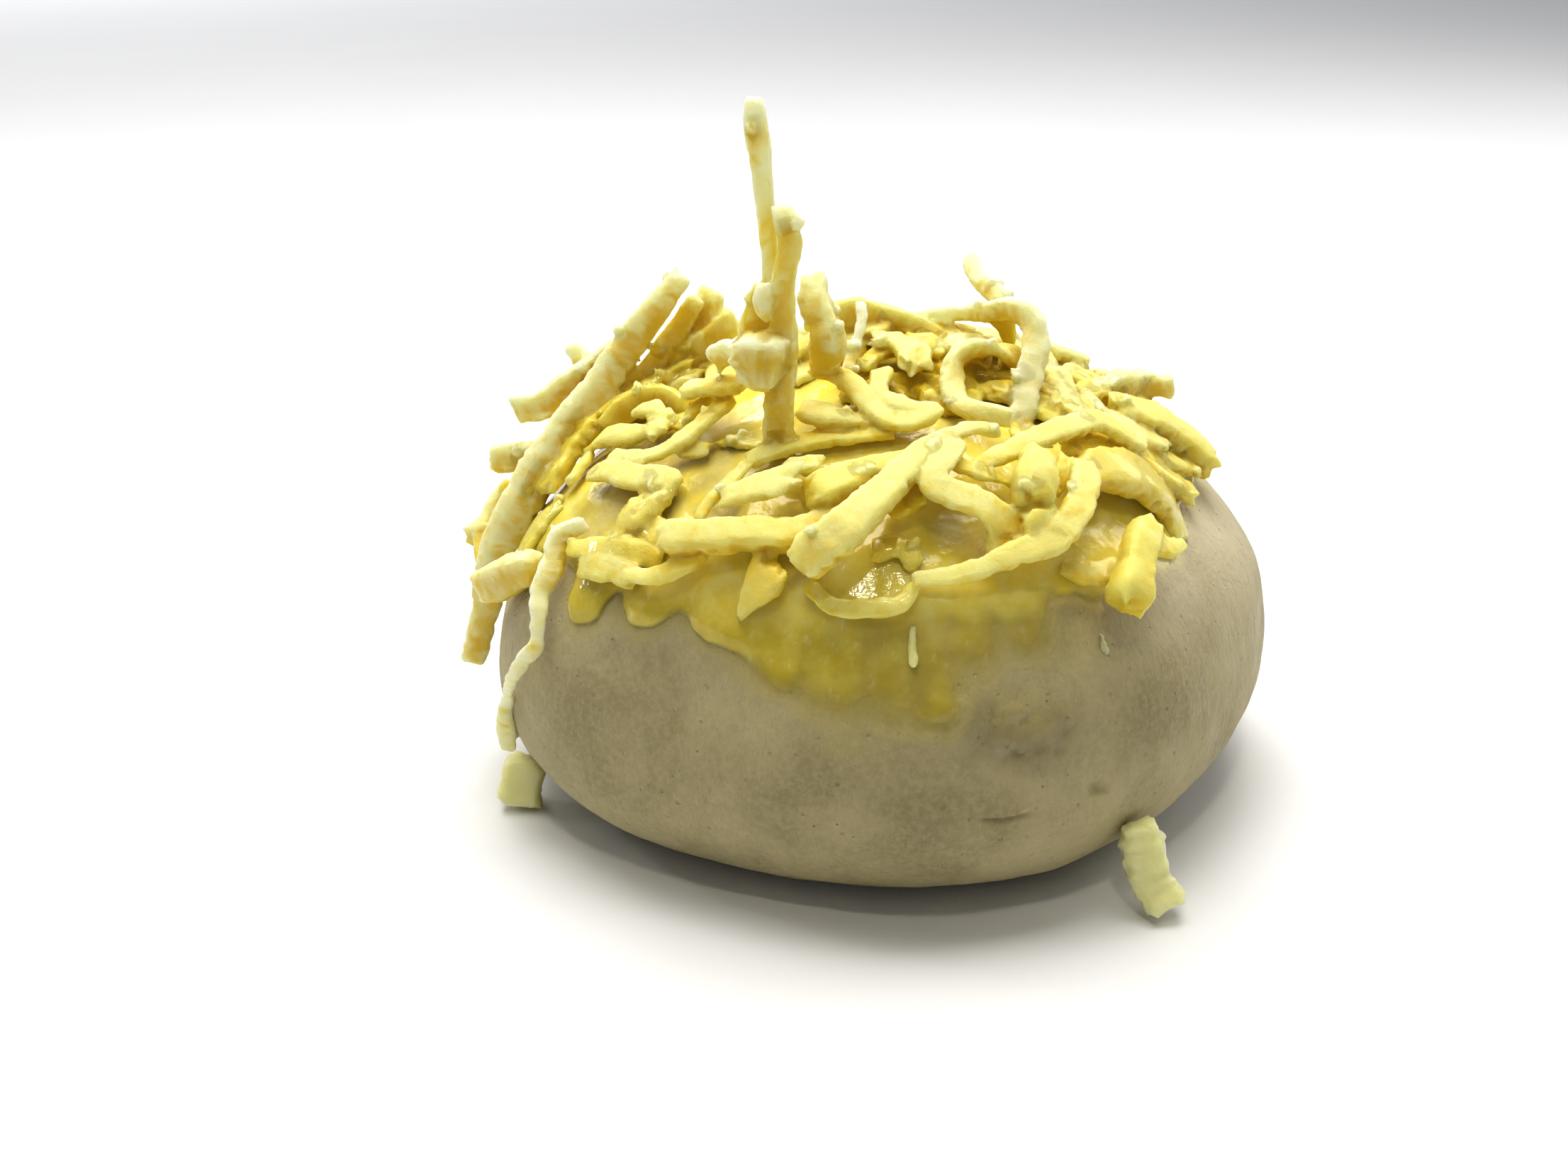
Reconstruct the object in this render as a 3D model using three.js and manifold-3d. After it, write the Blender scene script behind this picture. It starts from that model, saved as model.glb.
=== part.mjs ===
// A ball of raw bread dough, brushed with egg wash and topped with coarsely grated cheese.
// Millimetres, +Z up, +X to the right, seen from -Y. The origin is the middle of the flat foot.

import * as THREE from 'three';
import { mergeVertices } from 'three/addons/utils/BufferGeometryUtils.js';
import Module from 'manifold-3d';

const wasm = await Module();
wasm.setup();

// ---- Driving dimensions ----

const DOUGH_RADIUS = 39.8;
const DOUGH_HEIGHT = 47;
const BELLY_HEIGHT = 15;
const FOOT_SHARE = 0.62; // radius of the flat foot, as a share of the outline's
const BELLY_POLAR = 95; // degrees of a ball that map to the belly and to the rim of the foot
const RIM_POLAR = 172;

// The outline seen from above is a circle with these waves on it: waves in a turn, size, degrees.
const OUTLINE_WAVES = [
  { waves: 2, size: 3.2, at: 13 },
  { waves: 3, size: 0.5, at: -80 },
  { waves: 4, size: 1.0, at: 22 },
];

// Soft swellings (rise > 0) and dents (rise < 0): azimuth, elevation and spread in degrees.
const SWELLINGS = [
  { azimuth: -4, elevation: 22, spread: 13, rise: 0.9 },
  { azimuth: -6, elevation: 42, spread: 9, rise: -0.7 },
  { azimuth: -122, elevation: 10, spread: 13, rise: -0.8 },
  { azimuth: -72, elevation: 10, spread: 10, rise: -0.6 },
  { azimuth: -90, elevation: -10, spread: 16, rise: 0.5 },
  { azimuth: -45, elevation: 14, spread: 12, rise: 0.5 },
  { azimuth: 75, elevation: 12, spread: 16, rise: -0.8 },
  { azimuth: 130, elevation: 18, spread: 14, rise: 0.7 },
];

const GAP = 0.3; // between touching sub-parts
const WASH_THICK = 0.6;
const WASH_EDGE = 36; // elevation in degrees at which the egg wash ends between its runs
const RING_CROWDING = 1.35; // how much closer a skin's rings lie near its edge

// Runs of egg wash down the dough: azimuth and spread in degrees, and degrees run down.
const WASH_RUNS = [
  { azimuth: -172, spread: 11, drop: 12 },
  { azimuth: -146, spread: 8, drop: 13 },
  { azimuth: -131, spread: 4, drop: 8 },
  { azimuth: -116, spread: 8, drop: 9 },
  { azimuth: -96, spread: 9, drop: 16 },
  { azimuth: -83, spread: 3, drop: 10 },
  { azimuth: -70, spread: 7, drop: 10 },
  { azimuth: 22, spread: 10, drop: 8 },
  { azimuth: 63, spread: 12, drop: 13 },
  { azimuth: 98, spread: 7, drop: 9 },
  { azimuth: 133, spread: 9, drop: 12 },
];

const SHRED_THICK = 0.68; // thickness of a shred as a share of its width
const SHRED_STEP = 5.5; // length of a shred between two of its rings
const SHRED_SIDES = 6;
const THIN_SIDES = 5; // on a shred narrower than THIN_WIDTH
const THIN_WIDTH = 2.8;
const SHRED_TIP = 0.72; // size of a shred's end as a share of its middle
const BED_THICK = 0.7; // the packed layer under the shreds
const BED_MOUND = 1.8; // further height in its middle
const BED_EDGE = { elevation: 33, lean: 8, leanTo: 176, ripple: 2.5, ripples: 7 }; // degrees
const BED_ROOT = 1.5; // depth to which it is sunk before it is cut to the wash
const FACET_ALLOWANCE = 0.15; // for the wide facets of what the heap is cut to
const COVER = 2 * GAP + WASH_THICK + FACET_ALLOWANCE; // the heap's underside, over the dough

// The back of the heap: shreds dropped by rule over the half that faces away.
const BACK_SHREDS = 24;
const BACK_SEED = 20;
const BACK_FROM = 12; // azimuths, degrees
const BACK_TO = 172;
const BACK_NEAR = 0.15; // reach of their middles, as shares of the outline's radius
const BACK_FAR = 0.84;
const BACK_LENGTH = [9, 26];
const BACK_WIDTH = [2, 3.6];
const BACK_BEND = 0.35; // largest sideways bow, as a share of half the length
const BACK_OVER = [2.2, 2.8];
const BACK_PILE = 5; // further height of the highest at the middle
const BACK_PILE_REACH = 0.75;

// ---- The dough's surface ----

const radians = THREE.MathUtils.degToRad;

function outlineRadius(azimuth) {
  let radius = DOUGH_RADIUS;
  for (const { waves, size, at } of OUTLINE_WAVES) {
    radius += size * Math.cos(waves * (azimuth - radians(at)));
  }
  return radius;
}

function direction(azimuth, elevation) {
  const flat = Math.cos(elevation);
  return new THREE.Vector3(flat * Math.cos(azimuth), flat * Math.sin(azimuth), Math.sin(elevation));
}

function swelling(azimuth, elevation) {
  const here = direction(azimuth, elevation);
  let rise = 0;
  for (const swell of SWELLINGS) {
    const there = direction(radians(swell.azimuth), radians(swell.elevation));
    rise += swell.rise * Math.exp(-((here.distanceTo(there) / radians(swell.spread)) ** 2));
  }
  return rise;
}

// A point on the dough, or `over` millimetres outside it. Elevation is 90 degrees at the top,
// 0 at the belly and -90 at the rim of the foot.
function doughPoint(azimuth, elevation, over = 0) {
  const out = over + swelling(azimuth, elevation);
  const radius = outlineRadius(azimuth);
  const flat = Math.cos(elevation);
  const steep = Math.sin(elevation);
  const above = elevation >= 0;
  const reach = above ? radius * flat : radius * (FOOT_SHARE + (1 - FOOT_SHARE) * flat);
  const rise = above ? DOUGH_HEIGHT - BELLY_HEIGHT : BELLY_HEIGHT;
  return new THREE.Vector3(
    (reach + out * flat) * Math.cos(azimuth),
    (reach + out * flat) * Math.sin(azimuth),
    BELLY_HEIGHT + rise * steep + (above ? out : over) * steep,
  );
}

// Height at x, y of a crown that stands `over` millimetres outside the dough's, all round.
function crownHeight(x, y, over) {
  const share = Math.hypot(x, y) / (outlineRadius(Math.atan2(y, x)) + over);
  const rise = DOUGH_HEIGHT - BELLY_HEIGHT + over;
  return BELLY_HEIGHT + rise * Math.sqrt(Math.max(0, 1 - share * share));
}

// ---- Meshes and solids ----

function onlyPositions(geometry) {
  geometry.deleteAttribute('normal');
  geometry.deleteAttribute('uv');
  return mergeVertices(geometry);
}

// Moves each vertex of a ball, given by azimuth (about +Z) and polar angle (0 at the top).
function mapBall(around, rings, place) {
  const ball = new THREE.SphereGeometry(1, around, rings).rotateX(Math.PI / 2);
  const spot = ball.attributes.position;
  const unit = new THREE.Vector3();
  for (let i = 0; i < spot.count; i += 1) {
    unit.fromBufferAttribute(spot, i).normalize();
    const polar = Math.acos(THREE.MathUtils.clamp(unit.z, -1, 1));
    const to = place(Math.atan2(unit.y, unit.x), polar);
    spot.setXYZ(i, to.x, to.y, to.z);
  }
  return onlyPositions(ball);
}

function toSolid(geometry) {
  return new wasm.Manifold(new wasm.Mesh({
    numProp: 3,
    vertProperties: new Float32Array(geometry.attributes.position.array),
    triVerts: new Uint32Array(geometry.index.array),
  }));
}

function toGeometry(solid) {
  const mesh = solid.getMesh();
  const geometry = new THREE.BufferGeometry();
  geometry.setAttribute('position', new THREE.BufferAttribute(mesh.vertProperties, mesh.numProp));
  geometry.setIndex(new THREE.BufferAttribute(mesh.triVerts, 1));
  return geometry;
}

function part(name, geometry, material) {
  geometry.computeVertexNormals();
  const mesh = new THREE.Mesh(geometry, material);
  mesh.name = name;
  return mesh;
}

// ---- Dough ----

// Polar angles from 0 to 180 degrees run down the crown, the belly and under the foot's middle.
function doughShape(over, around, rings) {
  const belly = radians(BELLY_POLAR);
  const rim = radians(RIM_POLAR);
  return mapBall(around, rings, (azimuth, polar) => {
    if (polar <= belly) {
      return doughPoint(azimuth, radians(90) * (1 - polar / belly), over);
    }
    if (polar <= rim) {
      return doughPoint(azimuth, radians(-90) * ((polar - belly) / (rim - belly)), over);
    }
    const inward = (Math.PI - polar) / (Math.PI - rim);
    return doughPoint(azimuth, radians(-90), over).multiply(new THREE.Vector3(inward, inward, 1));
  });
}

// ---- Egg wash ----

function washEdge(azimuth) {
  let edge = WASH_EDGE;
  for (const run of WASH_RUNS) {
    const away = Math.atan2(
      Math.sin(azimuth - radians(run.azimuth)),
      Math.cos(azimuth - radians(run.azimuth)),
    );
    edge -= run.drop * Math.exp(-((away / radians(run.spread)) ** 2));
  }
  return radians(edge);
}

// A skin over the crown, from its top down to an edge: `outer` and `inner` are its distances out
// from the dough, given the share of the way to the edge, and `lip` is that of the edge itself.
function skinShape(around, rings, edge, outer, inner, lip) {
  return mapBall(around, 2 * rings, (azimuth, polar) => {
    const ring = Math.round(2 * rings * (polar / Math.PI));
    const step = Math.min(ring, 2 * rings - ring) / rings;
    const share = 1 - (1 - step) ** RING_CROWDING;
    const elevation = Math.PI / 2 - share * (Math.PI / 2 - edge(azimuth));
    if (ring === rings) {
      return doughPoint(azimuth, elevation, lip);
    }
    return doughPoint(azimuth, elevation, ring < rings ? outer(share) : inner);
  });
}

function washShape() {
  return skinShape(72, 7, washEdge, () => GAP + WASH_THICK, GAP, GAP + WASH_THICK / 2);
}

// ---- Cheese shreds ----

// A shred is a flattened rod bent along a curve. `thick` is a share of its width, `ends` sizes its
// two ends, and `taper` its width from the first point to the last.
function shredShape({ wide, way, thick = SHRED_THICK, ends = SHRED_TIP, taper = [1, 1], facing }) {
  const curve = new THREE.CatmullRomCurve3(way, false, 'centripetal');
  const steps = Math.max(2, Math.round(curve.getLength() / SHRED_STEP));
  const sides = wide < THIN_WIDTH ? THIN_SIDES : SHRED_SIDES;
  const strip = new THREE.CylinderGeometry(1, 1, 1, sides, steps);
  const spot = strip.attributes.position;
  const frames = shredFrames(curve, steps, facing);
  for (let i = 0; i < spot.count; i += 1) {
    const along = 0.5 - spot.getY(i);
    const ring = Math.round(along * steps);
    const { at, side, up } = frames[ring];
    const end = ring === 0 || ring === steps ? ends : 1;
    const half = 0.5 * wide * end * THREE.MathUtils.lerp(taper[0], taper[1], along);
    const to = at.clone();
    to.addScaledVector(side, half * spot.getX(i));
    to.addScaledVector(up, half * thick * spot.getZ(i));
    spot.setXYZ(i, to.x, to.y, to.z);
  }
  return onlyPositions(strip);
}

// Axes across the shred at each ring, carried along the curve without twisting.
function shredFrames(curve, steps, facing = new THREE.Vector3(0, 0, 1)) {
  const side = new THREE.Vector3().crossVectors(facing, curve.getTangentAt(0));
  const frames = [];
  for (let ring = 0; ring <= steps; ring += 1) {
    const tangent = curve.getTangentAt(ring / steps);
    side.addScaledVector(tangent, -side.dot(tangent)).normalize();
    const up = new THREE.Vector3().crossVectors(side, tangent).negate();
    frames.push({ at: curve.getPointAt(ring / steps), side: side.clone(), up });
  }
  return frames;
}

// Middle lines of the shreds that lie on the dough: x, y and the distance out from the crown.
function lying(...points) {
  return points.map(([x, y, over]) => new THREE.Vector3(x, y, crownHeight(x, y, over)));
}

// Middle lines of the shreds that stand up, arch over or hang down: x, y and z.
function free(...points) {
  return points.map(([x, y, z]) => new THREE.Vector3(x, y, z));
}

const FORWARD = new THREE.Vector3(0, -1, 0);

const SHREDS = {
  // Standing in the middle.
  tall_stand: {
    wide: 2,
    facing: FORWARD,
    way: free([-13.5, -13, 77], [-12, -14, 63], [-13.5, -15, 50], [-13, -15, 45]),
  },
  thick_stand: {
    wide: 3,
    facing: FORWARD,
    way: free([-13, -14.5, 65.5], [-11.5, -15, 67], [-10.2, -16, 64.5], [-10.5, -17, 52], [-11, -17, 43.5]),
  },
  flake_stand: { wide: 1.8, facing: FORWARD, way: free([-13, -17, 60], [-11.5, -17, 52]) },
  stub_right: { wide: 3.1, facing: FORWARD, way: free([-8, -10, 59], [-7.8, -12, 55], [-6, -13, 48.5]) },
  thin_upright: { wide: 1.2, facing: FORWARD, way: free([-3, -4, 55.5], [-4, -7, 51], [-5, -9, 48]) },
  middle_chunk: { wide: 3.8, way: lying([-16, -13, 7.5], [-12.5, -14, 9], [-9, -14, 8.5]) },

  // Over the left edge.
  long_left: {
    wide: 3.4,
    way: free([-22, 5, 56.5], [-32.5, 2, 45], [-39.5, -3, 35.5], [-43.5, -6, 27], [-46.5, -7, 14]),
  },
  left_stub: {
    wide: 3,
    ends: 0.9,
    way: free([-41.5, 2.8, 40.5], [-36, 3.2, 43], [-28, 5, 46], [-23, 7.5, 43.5]),
  },
  back_nub: { wide: 2.3, way: free([-36.5, 9, 45], [-31, 9, 42], [-26, 9, 41]) },
  left_rag: { wide: 3.7, thick: 0.5, way: free([-20, 6, 54.5], [-22.5, 5, 50], [-30, 2, 41]) },
  left_rag_low: { wide: 2.8, thick: 0.5, way: free([-17, 7, 51], [-20, 6, 48], [-25, 1, 43]) },
  left_back_stub: { wide: 3.1, way: free([-44.5, 4, 35], [-40, 4, 34], [-35, 4, 34.5]) },
  left_parallel: { wide: 2.4, way: free([-39.5, 4, 36.5], [-44, 1, 31], [-45.5, -2, 26.5]) },
  left_nub: { wide: 2.1, way: free([-47, -2, 27.5], [-42.5, -4.5, 29.5]) },
  left_blob: { wide: 3.1, way: free([-36, -15.5, 32], [-40, -14, 28.5], [-43.5, -12, 25]) },
  left_drape: { wide: 1.8, way: lying([-35, -12.5, 2.4], [-38.5, -11, 2], [-41.5, -9.5, 2]) },
  wavy_strip: {
    wide: 1.9,
    thick: 0.6,
    way: free(
      [-30.5, -16.5, 36.5], [-35, -18, 31.5], [-36, -21, 28], [-35, -24, 25.5],
      [-38.5, -22, 20.5], [-42, -17, 12.5], [-41, -16.5, 8.5],
    ),
  },

  // On the left of the crown.
  left_slim: { wide: 2, way: lying([-32.5, -4, 2.2], [-28.5, -7.5, 2.6], [-24, -11.5, 2.6]) },
  left_curl: {
    wide: 2,
    way: lying([-29, -11.5, 2.4], [-24.5, -15, 2.6], [-20, -14.5, 3.2], [-16, -11, 3.6]),
  },
  left_under: { wide: 1.8, way: lying([-18.5, -14.5, 2], [-11.5, -16, 2]) },
  left_thick: { wide: 2.4, way: lying([-31, -11, 2.2], [-27, -15.5, 2.6], [-21, -19, 2.2]) },
  left_bit: { wide: 1.8, way: lying([-35.5, -9, 2], [-31.5, -5.5, 2]) },
  left_coated: { wide: 3.1, way: lying([-29, -21, 2], [-26, -19.5, 2.2], [-22.5, -19.5, 2]) },
  left_chip: { wide: 2.3, way: lying([-27, -6.5, 2.8], [-22, -10.5, 2.8]) },
  left_rod: { wide: 2.2, way: lying([-23, -6.5, 3.4], [-19.5, -4, 3.2], [-14.5, -1, 2.8]) },
  front_left_flake: {
    wide: 2.7,
    thick: 0.5,
    way: lying([-31.5, -20.5, 2], [-28, -24, 2.4], [-25, -26, 2]),
  },
  front_left_pale: { wide: 1.9, way: lying([-26.5, -26, 2.4], [-20.5, -27.5, 2.8], [-15.5, -25.5, 2.4]) },

  // Across the front.
  front_lying: {
    wide: 3.5,
    way: lying([-22, -25.5, 3.4], [-16.5, -26.7, 3.4], [-11, -27, 3], [-5, -25.5, 2.4]),
  },
  front_cross: {
    wide: 4.5,
    taper: [1, 0.62],
    ends: 0.9,
    way: lying([-8.5, -32.3, 4.6], [-4, -31, 5.8], [0, -26, 5], [6.5, -17.2, 3.2]),
  },
  front_cone: {
    wide: 3.4,
    taper: [1, 0.7],
    ends: 0.85,
    way: lying([-7.5, -25.5, 3.2], [-3, -22.5, 2.9], [3.5, -19, 2.4]),
  },
  front_flake: {
    wide: 2.7,
    thick: 0.5,
    way: lying([-17, -24.7, 3.2], [-13, -24.7, 4.4], [-9, -21.5, 3.4]),
  },
  front_base: {
    wide: 2.2,
    way: lying([-18.5, -24.5, 2.8], [-14.5, -20, 2.8], [-7, -17.2, 2.6], [-1, -16.3, 2.2]),
  },
  front_bow: { wide: 2, way: lying([-8, -29.5, 2.2], [-4.5, -31.7, 2], [-1, -32.3, 2], [3.5, -31.5, 2]) },
  front_wedge: { wide: 2.7, way: lying([-14.5, -32, 2.6], [-9, -27, 2.2]) },
  front_coated: { wide: 2.3, way: lying([-2, -26.5, 2], [2, -27, 2], [3, -29.5, 2]) },
  long_hook: {
    wide: 2.7,
    way: lying([1.5, -31.5, 2], [8, -31, 2.8], [13.5, -29.8, 4.4], [18, -23.5, 4.9], [18.7, -17.5, 4.4]),
  },
  pale_ribbon: {
    wide: 2.5,
    thick: 0.45,
    way: lying([6.5, -20, 4.6], [4.3, -24.5, 5.2], [6, -26, 4.8], [10.5, -26.5, 4], [10.5, -28, 2.2]),
  },
  pointed_flake: { wide: 1.5, way: lying([5, -22, 3.4], [8.5, -22, 2.9], [12, -21.6, 2.6]) },
  fat_round: { wide: 3.7, thick: 0.9, way: lying([13.8, -21.5, 5.6], [13.5, -24.5, 4.4], [13, -27, 2.4]) },
  rough_bit: { wide: 2.4, way: lying([16.5, -19, 4.8], [17, -21, 3.6], [15.5, -21.5, 2.2]) },
  right_curve: { wide: 3.1, way: lying([13, -25, 2.4], [18.5, -27, 2.6], [23.5, -25.5, 3.8]) },
  bone: { wide: 3.6, ends: 1.05, way: lying([26, -17, 3.2], [24.5, -22.5, 4], [22.3, -29, 4]) },

  // Arches and curls on the middle and the right.
  back_arch_dark: { wide: 2.9, way: free([-9.5, 1.5, 52.5], [-5, 3, 54], [1, 5, 51.5], [8, 3.5, 48]) },
  back_arch_bright: { wide: 2.7, way: lying([-9, 11, 2.6], [-3, 13, 2.8], [4.5, 11.5, 2.2]) },
  u_strand: {
    wide: 2.3,
    way: lying([-8, -11, 5.4], [-4, -12.5, 4.4], [-1.3, -16, 2.9], [1.5, -17, 2.8], [5, -15, 2.8]),
  },
  middle_wedge: { wide: 3, way: lying([-9.5, -13.8, 4], [-6, -15.5, 3.4], [-2, -16, 2.4]) },
  middle_flake: { wide: 2.5, thick: 0.5, way: lying([-2, -7.5, 2.6], [0.5, -12.5, 2.9], [2.7, -15, 2.9]) },
  curl: {
    wide: 2.2,
    way: free(
      [14, -2, 49], [11, -3.5, 51.2], [7.5, -6.5, 51.4],
      [5.6, -10.5, 49.3], [7.5, -13.2, 47.4], [11.5, -13, 46.6],
    ),
  },
  back_whip: { wide: 1.9, facing: FORWARD, way: free([8, 12, 57], [10.8, 9.5, 52.7], [12.4, 7, 47]) },
  big_arch: {
    wide: 3.2,
    way: free(
      [2.5, 8.5, 50], [7.5, 5, 52.8], [12, 1, 54.6],
      [14.8, -2.5, 52.8], [13.8, -7, 47], [13, -11, 45],
    ),
  },
  right_thin: { wide: 1.8, way: lying([16, 6, 2.4], [20, 9, 2.2], [24, 11, 2]) },
  right_bone: { wide: 2.8, ends: 1.05, way: lying([19, 2, 2.2], [23, 5, 2.6], [27, 7, 4.5], [32, 8, 5]) },
  right_ledge: { wide: 3.6, way: lying([22.5, 4, 2.2], [29.5, 3, 2.4], [35, 2, 2.6]) },
  right_ledge_low: { wide: 2.8, way: lying([25, -4, 2.2], [29.5, -4.5, 2.2], [34, -3.5, 2.2]) },
  right_left: {
    wide: 2.3,
    way: lying([7.5, -21.5, 2.8], [11, -19, 3.8], [15, -16.5, 4.8], [19.5, -11.5, 4.9]),
  },
  right_right: { wide: 2.6, way: lying([17.5, -12.3, 4.8], [22, -11.4, 4.5], [26, -10.7, 3.6]) },
  right_flat: { wide: 2.1, way: lying([16.5, -16, 2.6], [21.5, -12.5, 3], [26, -8.7, 2.6]) },
  coated_arch: {
    wide: 3.9,
    way: lying([18, -18.7, 3.4], [22.3, -14.7, 3.4], [26.5, -12, 2.4], [28.7, -16, 2]),
  },
};

// Numbers from 0 to 1, the same each time, by Park and Miller's rule.
function dice(seed) {
  let state = seed;
  return () => {
    state = (state * 16807) % 2147483647;
    return state / 2147483647;
  };
}

// Shreds over the back of the crown: a spot, a heading, a length and a bend for each.
function backShreds() {
  const roll = dice(BACK_SEED);
  const between = (low, high) => low + (high - low) * roll();
  const shreds = [];
  for (let i = 0; i < BACK_SHREDS; i += 1) {
    const azimuth = radians(BACK_FROM + ((BACK_TO - BACK_FROM) * (i + 0.5)) / BACK_SHREDS);
    const share = Math.sqrt(between(BACK_NEAR ** 2, BACK_FAR ** 2));
    const middle = new THREE.Vector2(Math.cos(azimuth), Math.sin(azimuth));
    middle.multiplyScalar(share * outlineRadius(azimuth));
    const heading = between(0, Math.PI);
    const half = 0.5 * between(...BACK_LENGTH);
    const bend = between(-BACK_BEND, BACK_BEND) * half;
    const pile = BACK_PILE * Math.max(0, BACK_PILE_REACH - share);
    const over = between(...BACK_OVER) + pile * between(0, 1);
    const points = [-1, 0, 1].map((step) => {
      const bow = step === 0 ? bend : 0;
      const x = middle.x + step * half * Math.cos(heading) - bow * Math.sin(heading);
      const y = middle.y + step * half * Math.sin(heading) + bow * Math.cos(heading);
      return [x, y, over];
    });
    shreds.push({ wide: between(...BACK_WIDTH), way: lying(...points) });
  }
  return shreds;
}

// What the heap is cut clear of: the dough, out to just over its egg wash.
function cutterShape() {
  return doughShape(COVER, 36, 16);
}

// The packed layer that the shreds are fused on: thickest in its middle, reaching furthest down
// on the left, with an uneven edge. Its underside is sunk in what it is cut clear of.
function bedShape() {
  const { elevation, lean, leanTo, ripple, ripples } = BED_EDGE;
  const edge = (azimuth) => {
    const tilt = lean * Math.cos(azimuth - radians(leanTo));
    return radians(elevation - tilt + ripple * Math.sin(ripples * azimuth));
  };
  const outer = (share) => COVER + BED_THICK + BED_MOUND * (1 - share) ** 2;
  return skinShape(32, 5, edge, outer, COVER - BED_ROOT, COVER - BED_ROOT / 2);
}

// All shreds fused on the bed, clear of the dough and its egg wash. Loose scraps are dropped.
function cheeseShape() {
  let heap = toSolid(bedShape());
  for (const shred of [...Object.values(SHREDS), ...backShreds()]) {
    heap = heap.add(toSolid(shredShape(shred)));
  }
  const pieces = heap.subtract(toSolid(cutterShape())).decompose();
  pieces.sort((a, b) => b.volume() - a.volume());
  return toGeometry(pieces[0]);
}

// ---- The shreds that lean on the foot ----

const FOOT_SHREDS = {
  foot_shred_left: { wide: 3.9, way: free([-39.4, -13.4, 6.2], [-39.6, -13.7, 3.5], [-40, -14.3, 0.9]) },
  foot_shred_right: {
    wide: 3.6,
    way: free([25.6, -28.4, 9.2], [26.3, -28.9, 6.5], [27.3, -29.6, 3.8], [28.6, -31, 1.4]),
  },
};

// ---- The whole ----

const doughLook = new THREE.MeshStandardMaterial({ color: 0xb9ac95, roughness: 0.6, metalness: 0 });
const washLook = new THREE.MeshStandardMaterial({ color: 0xcfb652, roughness: 0.15, metalness: 0 });
const cheeseLook = new THREE.MeshStandardMaterial({ color: 0xf0e08a, roughness: 0.45, metalness: 0 });

const object = new THREE.Group();
object.add(part('dough', doughShape(0, 52, 26), doughLook));
object.add(part('egg_wash', washShape(), washLook));
object.add(part('cheese', cheeseShape(), cheeseLook));
for (const [name, shred] of Object.entries(FOOT_SHREDS)) {
  object.add(part(name, shredShape(shred), cheeseLook));
}

export default object;
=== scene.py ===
import itertools
import math

import bpy
import numpy as np
from mathutils import Matrix, Vector
from mathutils.kdtree import KDTree


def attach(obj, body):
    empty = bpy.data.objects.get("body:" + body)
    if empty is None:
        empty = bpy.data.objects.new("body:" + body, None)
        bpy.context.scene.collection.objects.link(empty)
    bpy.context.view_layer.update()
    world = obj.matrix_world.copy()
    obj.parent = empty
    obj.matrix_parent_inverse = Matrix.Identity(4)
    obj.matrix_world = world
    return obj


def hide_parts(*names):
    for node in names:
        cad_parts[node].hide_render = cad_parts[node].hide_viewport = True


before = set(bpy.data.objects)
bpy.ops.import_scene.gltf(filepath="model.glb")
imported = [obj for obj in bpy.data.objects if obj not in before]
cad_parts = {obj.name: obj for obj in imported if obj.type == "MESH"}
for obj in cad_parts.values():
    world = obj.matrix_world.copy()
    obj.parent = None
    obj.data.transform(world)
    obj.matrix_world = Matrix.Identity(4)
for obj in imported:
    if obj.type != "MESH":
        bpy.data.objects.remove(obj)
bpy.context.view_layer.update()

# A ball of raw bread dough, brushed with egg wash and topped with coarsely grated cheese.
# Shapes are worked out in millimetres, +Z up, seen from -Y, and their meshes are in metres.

MM = 0.001

# ---- Driving dimensions, as in the solids ----

DOUGH_RADIUS = 39.8
DOUGH_HEIGHT = 47.0
BELLY_HEIGHT = 15.0
FOOT_SHARE = 0.62  # radius of the flat foot, as a share of the outline's

# The outline seen from above is a circle with these waves on it: waves in a turn, size, degrees.
OUTLINE_WAVES = [(2, 3.2, 13), (3, 0.5, -80), (4, 1.0, 22)]

# Soft swellings and dents: azimuth, elevation and spread in degrees, and rise.
SWELLINGS = [
    (-4, 22, 13, 0.9),
    (-6, 42, 9, -0.7),
    (-122, 10, 13, -0.8),
    (-72, 10, 10, -0.6),
    (-90, -10, 16, 0.5),
    (-45, 14, 12, 0.5),
    (75, 12, 16, -0.8),
    (130, 18, 14, 0.7),
]

# ---- Camera ----

PICTURE_WIDTH = 2212
PICTURE_HEIGHT = 1659
VIEW_ANGLE = math.radians(50)  # across the picture
CAMERA_RISE = math.radians(24)  # of the camera, seen from the point that it is aimed by
CAMERA_DISTANCE = 189.6
AIM_HEIGHT = 23.0
AIM_PIXEL = (1265.9, 811.4)  # where that point lies in the picture


# ---- Numbers ----

CORNER_PRIMES = (73856093, 19349663, 83492791)  # one for each axis
CORNER_SEED = 40503
CORNER_MIX = 1274126177
WORD = 0xFFFFFFFF  # the largest whole number of 32 bits
HALF_WORD = 0xFFFF
DICE_FACTOR = 16807
DICE_RANGE = 2147483647


def corner_numbers(cell, seed):
    """A number from -1 to 1 for each corner of a grid of cells, the same each time."""
    mixed = sum(cell[..., axis] * prime for axis, prime in enumerate(CORNER_PRIMES))
    mixed = (mixed + seed * CORNER_SEED) & WORD
    for shift in (15, 13):
        mixed = ((mixed ^ (mixed >> shift)) * CORNER_MIX) & WORD
    mixed = mixed ^ (mixed >> 16)
    return 2 * (mixed & HALF_WORD) / HALF_WORD - 1


def noise(points, size, seed):
    """Smooth noise from about -1 to 1 at each point, in bumps about `size` millimetres across."""
    scaled = np.asarray(points, float) / size
    cell = np.floor(scaled).astype(np.int64)
    part = scaled - cell
    fade = part**3 * (part * (part * 6 - 15) + 10)
    total = np.zeros(scaled.shape[:-1])
    for corner in itertools.product((0, 1), repeat=3):
        weight = np.prod(np.where(np.array(corner) == 1, fade, 1 - fade), axis=-1)
        away = part - corner
        slope = [corner_numbers(cell + corner, 3 * seed + axis) for axis in range(3)]
        total += weight * sum(slope[axis] * away[..., axis] for axis in range(3))
    return 1.5 * total


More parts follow.
